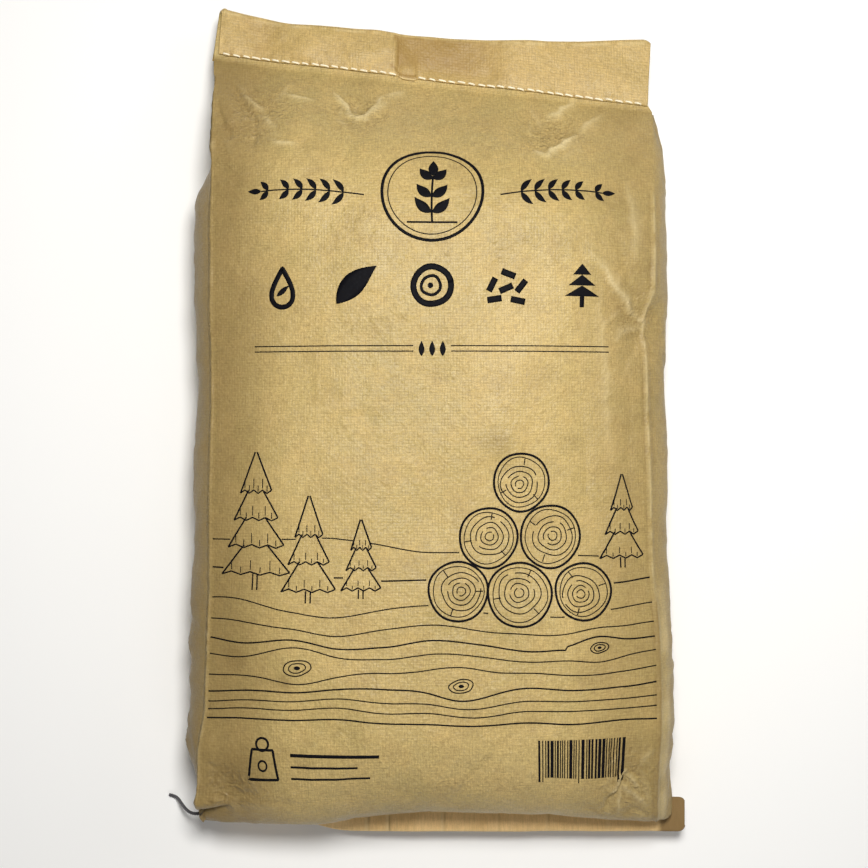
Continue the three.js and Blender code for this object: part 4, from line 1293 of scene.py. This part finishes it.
def fir(ink, x, y, height, tiers):
    """A fir in outline, with hatched tiers."""
    for aside in (-2, 2):
        ink.stroke([(x + aside, y), (x + aside, y + height * 0.12)], 1.2)
    for i in range(tiers):
        low = y + height * (0.12 + 0.88 * i / tiers * 0.92)
        half = height * 0.27 * (1 - 0.72 * i / tiers)
        tall = height * 0.88 / tiers * 1.35
        count = 7
        hem = [(x - half + 2 * half * k / count, low + (1.6 if k % 2 else -1.0)) for k in range(count + 1)]
        rise, inward = (tall, 0.06) if i == tiers - 1 else (tall * 0.72, 0.34)
        ink.stroke([hem[0], (x - half * inward, low + rise)], 1.4)
        ink.stroke([hem[-1], (x + half * inward, low + rise)], 1.4)
        ink.stroke(hem, 1.2)
        for k in range(1, count):
            bottom = np.array(hem[k]) + (0, 1.5)
            ink.stroke([bottom, bottom + (0, height * 0.045 * (1.6 if k % 2 else 1.0))], 0.7)


def over_drawing(x, y):
    covered = np.zeros(np.shape(x), bool)
    for at_x, at_y, radius in LOGS:
        covered |= np.hypot(x - at_x, y - at_y) < radius + 2.5
    for at_x, at_y, height, _ in FIRS:
        share = np.clip((y - at_y) / height, 0, 1)
        inside = np.abs(x - at_x) < height * 0.29 * (1 - share) + 1.5
        covered |= inside & (y > at_y - 1) & (y < at_y + height)
    return covered


def grain_lines(ink):
    """Long lines of wood grain across the whole front, which part around three knots."""
    sway = Noise(41)
    x = np.arange(-189, 189.1, 2.0)
    for i, base in enumerate((88, 98, 107, 118, 131, 143, 153, 166, 182, 206, 232)):
        y = base + 9 * sway.at(x / 95 + 2, base / 60) + 3 * sway.at(x / 40, base / 25 + 5)
        for knot_x, knot_y, size in KNOTS:
            gap = y - knot_y
            push = size * 0.85 * np.exp(-np.abs(gap) / (size * 1.1))
            y = y + np.where(gap >= 0, 1, -1) * push * hump(x - knot_x, size * 2.1)
        for part in pieces_outside(np.stack([x, y], -1), over_drawing):
            ink.stroke(part, 0.95 if i % 3 else 1.25)
    for knot_x, knot_y, size in KNOTS:
        for share, width in ((0.78, 1.0), (0.48, 0.9)):
            ink.stroke(ring((knot_x, knot_y), size * share, 0.55, 0.15, 0.03, knot_x), width, closed=True)
        ink.disc((knot_x, knot_y), size * 0.18, 0.6)


def bar_block(ink, x, y, height):
    """Upright bars of several widths, with longer ones at both ends and in the middle."""
    draw = np.random.default_rng(5)
    for i in range(29):
        width = float(draw.choice([0.9, 0.9, 1.7, 2.6]))
        x += width / 2
        drop = 4 if i in (0, 1, 14, 27, 28) else 0
        ink.stroke([(x, y - drop), (x, y + height)], width)
        x += width / 2 + float(draw.choice([0.9, 0.9, 1.6]))


def weight_sign(ink, x, y):
    """A plain weight with its ring, and three short rules beside it."""
    ink.stroke([(x - 13, y - 13), (x + 13, y - 13), (x + 9, y + 9), (x - 9, y + 9)], 2.0, closed=True)
    ink.stroke(ring((x, y + 13.5), 5.2), 1.9, closed=True)
    ink.stroke(ring((x, y - 3), 3.6), 1.5, closed=True)
    for rise, length, width in ((6, 74, 2.6), (-3, 56, 1.6), (-12, 66, 1.6)):
        ink.stroke([(x + 24, y + rise), (x + 24 + length, y + rise)], width)


def build_print():
    ink = Ink(Panel(body_grid, body_lengths))
    emblem(ink, 0, 527, 43)
    for side in (-1, 1):
        sprig(ink, (side * 58, 524), (side * 146, 528), 6, 15, 5, 1.2, 0.03 * side)
    bold_row(ink, 448)
    ruled_row(ink, 394)
    log_stack(ink)
    for spot in FIRS:
        fir(ink, *spot)
    grain_lines(ink)
    bar_block(ink, 88, 40, 32)
    weight_sign(ink, -142, 54)
    piece = ink.build("front_print")
    piece.data.materials.append(ink_paint("black_ink"))
    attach(piece, BODY)


build_print()


# The crepe tape over the bottom edge. Its creases: how far across, height and width.
TAPE_COLUMNS = 420
TAPE_FACE, TAPE_PINCHED, TAPE_LEAST = 1.7, 0.9, 0.75
TAPE_CREASES = [
    (-63.5, 2.6, 1.3), (-45, -2.4, 1.1), (3.5, 1.8, 1.2), (52, -0.8, 2.4), (96, -1.1, 2.0), (150, 0.9, 2.0),
]
TAPE_CORNER = 6.0


def build_tape():
    low, high = -HALF_PANEL - TAPE_OVERHANG_LEFT, HALF_PANEL + TAPE_OVERHANG_RIGHT
    half = np.linspace(low, high, TAPE_COLUMNS)
    row, out, front = end_frame(BOTTOM, np.clip(half / HALF_PANEL, -1, 1))
    row[:, 0] = half + BOTTOM_SHIFT
    end_rows = row, out, front
    wobble, ripple = Noise(31), Noise(32)
    past_sack = np.abs(half) - HALF_PANEL
    creases = sum(size * np.exp(-np.abs(half - at) / width) for at, size, width in TAPE_CREASES)
    face = mix(TAPE_FACE, TAPE_PINCHED, smooth(past_sack, 0, 5))
    near_end = np.maximum(0, 1 - np.minimum(half - low, high - half) / TAPE_CORNER)
    rounded = TAPE_CORNER * 0.45 * (1 - np.sqrt(1 - near_end ** 2))
    edge = HEM_LENGTH + 0.6 + 0.5 * wobble.at(half / 23, 2.0) - rounded * 1.6
    legs = np.linspace(0, 1, 16)
    section = []
    for share in legs:
        reach = mix(-TAPE_ABOVE_ROW + 0.4 * wobble.at(half / 12, 5.0) + rounded, edge - face, share)
        level = face + 0.8 * creases * np.sin(np.pi * mix(0.25, 0.9, share))
        level = level + 0.35 * ripple.at(half / 5, share * 2) + 0.5 * wobble.at(half / 30, share)
        section.append(layer(end_rows, reach, np.maximum(level, TAPE_LEAST)))
    for turn in np.linspace(0, np.pi, 8)[1:-1]:
        section.append(layer(end_rows, edge - face + face * np.sin(turn), face * np.cos(turn)))
    for share in legs[::-1]:
        reach = mix(-TAPE_ABOVE_ROW + 0.4 * wobble.at(half / 12, 8.0) + rounded, edge - face, share)
        level = face + 0.35 * ripple.at(half / 5, share * 2 + 9)
        section.append(layer(end_rows, reach, -np.maximum(level, TAPE_LEAST)))
    grid = np.array(section)
    lengths = distances(grid)
    uv = np.stack([np.broadcast_to(half, lengths.shape), lengths], -1) / 1000
    # Painted light and shade on the creases: lighter on one side, darker on the other.
    crease_light, folded = (
        sum(abs(size) * hump(half - at - aside, width) for at, size, _ in TAPE_CREASES) / most
        for aside, width, most in ((-1.3, 1.4, 2.4), (0.9, 0.9, 2.6))
    )
    wear_and_light = np.broadcast_to(crease_light, lengths.shape).copy()
    wear_and_light[len(legs):-len(legs)] += 0.35
    patchy = 0.3 + 0.7 * smooth(wobble.at(half / 9, lengths / 9), -0.5, 0.4)
    # The tab past the sack is painted darker, as shade.
    dirt_and_shade = smooth(past_sack, -1, 6) + 0.75 * folded * patchy
    dirt_and_shade = dirt_and_shade + 0.1 * smooth(ripple.at(half / 40, lengths / 30), 0, 0.6)
    return shell("crepe_tape_binding", grid, TAPE_THICKNESS, uv, {"wear_and_light": wear_and_light, "dirt_and_shade": dirt_and_shade})


bottom_tape = build_tape()
bottom_tape.data.materials.append(crepe("crepe_tape"))
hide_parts("bottom_tape")
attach(bottom_tape, BODY)


# The stitches: thread of two yarns that goes over the front from hole to hole.
STITCH_RADIUS, STITCH_SIDES, STITCH_GAP, STITCH_TURNS, STITCH_SLANT = 0.8, 10, 0.14, 2.6, 0.22
STITCH_HIDDEN, STITCH_HIDDEN_AT, STITCH_HIDDEN_WIDTH = 2.2, -23, 9


def twisted(points, line, start):
    """Draws a tube in along two spirals, as between the two yarns of a thread."""
    around = 2 * np.pi * np.arange(STITCH_SIDES) / STITCH_SIDES
    along = 2 * np.pi * STITCH_TURNS * np.linspace(0, 1, len(line)) + start
    squeeze = 1 + 0.13 * np.cos(2 * (around - along[:, None]))
    middle = np.repeat(line, STITCH_SIDES, axis=0)
    return middle + (points - middle) * squeeze.reshape(-1, 1)


def stitch_row(name, end, pitch, over, under, material, node):
    row, _, front = end_frame(end, across_places(pitch))
    heap = Heap()
    share = np.linspace(0, 1, 15)
    raised = 0.5 * np.sin(np.pi * share) ** 0.45 - 1.9 * (2 * share - 1) ** 10
    for start, finish, up in zip(row, row[1:], front):
        aside = np.cross(up, unit(finish - start))
        slant = 0.35 * (1 - 2 * share) + rng.normal(0, STITCH_SLANT)
        for face, sign in ((over, 1), (under, -1)):
            lift = sign * (face + raised)
            if end == MOUTH and sign > 0:
                middle = (start[0] + finish[0]) / 2
                lift = lift - STITCH_HIDDEN * hump(middle - STITCH_HIDDEN_AT, STITCH_HIDDEN_WIDTH)
            first, last = STITCH_GAP * rng.uniform(0.4, 1.6, 2)
            inner = mix(first, 1 - last, share)
            line = start + (finish - start) * inner[:, None] + up * lift[:, None] + aside * slant[:, None]
            points, faces = tube(line, STITCH_RADIUS, STITCH_SIDES)
            heap.add(twisted(points, line, rng.uniform(0, 6.28)), faces)
    piece = heap.build(name)
    piece.data.materials.append(material)
    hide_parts(node)
    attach(piece, BODY)


cream = thread("cream_thread", colour(252, 244, 220), colour(232, 218, 184))
dark = bpy.data.materials["dark_thread"]
stitch_row("mouth_stitches", MOUTH, MOUTH_STITCH_PITCH, 3.3, 2.4, cream, "top_stitching")
stitch_row("bottom_stitches", BOTTOM, BOTTOM_STITCH_PITCH, 2.0, 2.0, dark, "bottom_stitching")


# Floor and lights.
FLOOR_HALF = 6.0


def build_stage():
    corners = [(x * FLOOR_HALF, y * FLOOR_HALF, 0) for x, y in ((-1, -1), (1, -1), (1, 1), (-1, 1))]
    floor = make_object("floor", corners, [(0, 1, 2, 3)], shade_smooth=False)
    floor.data.materials.append(Paint("floor").finished({
        "Base Color": (0.9, 0.9, 0.9, 1), "Roughness": 0.9, "Specular IOR Level": 0.1,
    }))


def area_light(name, place, target, size, power, tint):
    light = bpy.data.lights.new(name, "AREA")
    light.shape = "DISK"
    light.size = size
    light.energy = power
    light.color = tint
    lamp = bpy.data.objects.new(name, light)
    lamp.location = place
    way = mathutils.Vector(np.subtract(target, place))
    lamp.rotation_euler = way.to_track_quat("-Z", "Y").to_euler()
    bpy.context.scene.collection.objects.link(lamp)


build_stage()
area_light("key", (0.09, 0.37, 1.45), (0.02, 0.12, 0.1), 0.42, 23.2, (1.0, 0.985, 0.95))
area_light("side", (1.3, 0.6, 1.1), (0, 0.1, 0.1), 0.7, 2.5, (1.0, 0.98, 0.94))
area_light("front", (0.2, -1.5, 1.0), (0, -0.3, 0.0), 0.9, 4.7, (1.0, 0.99, 0.97))
world = bpy.data.worlds.new("world")
world.use_nodes = True
world.node_tree.nodes["Background"].inputs["Color"].default_value = (1.0, 0.99, 0.97, 1)
world.node_tree.nodes["Background"].inputs["Strength"].default_value = 0.14
bpy.context.scene.world = world
bpy.context.scene.view_settings.view_transform = "Standard"
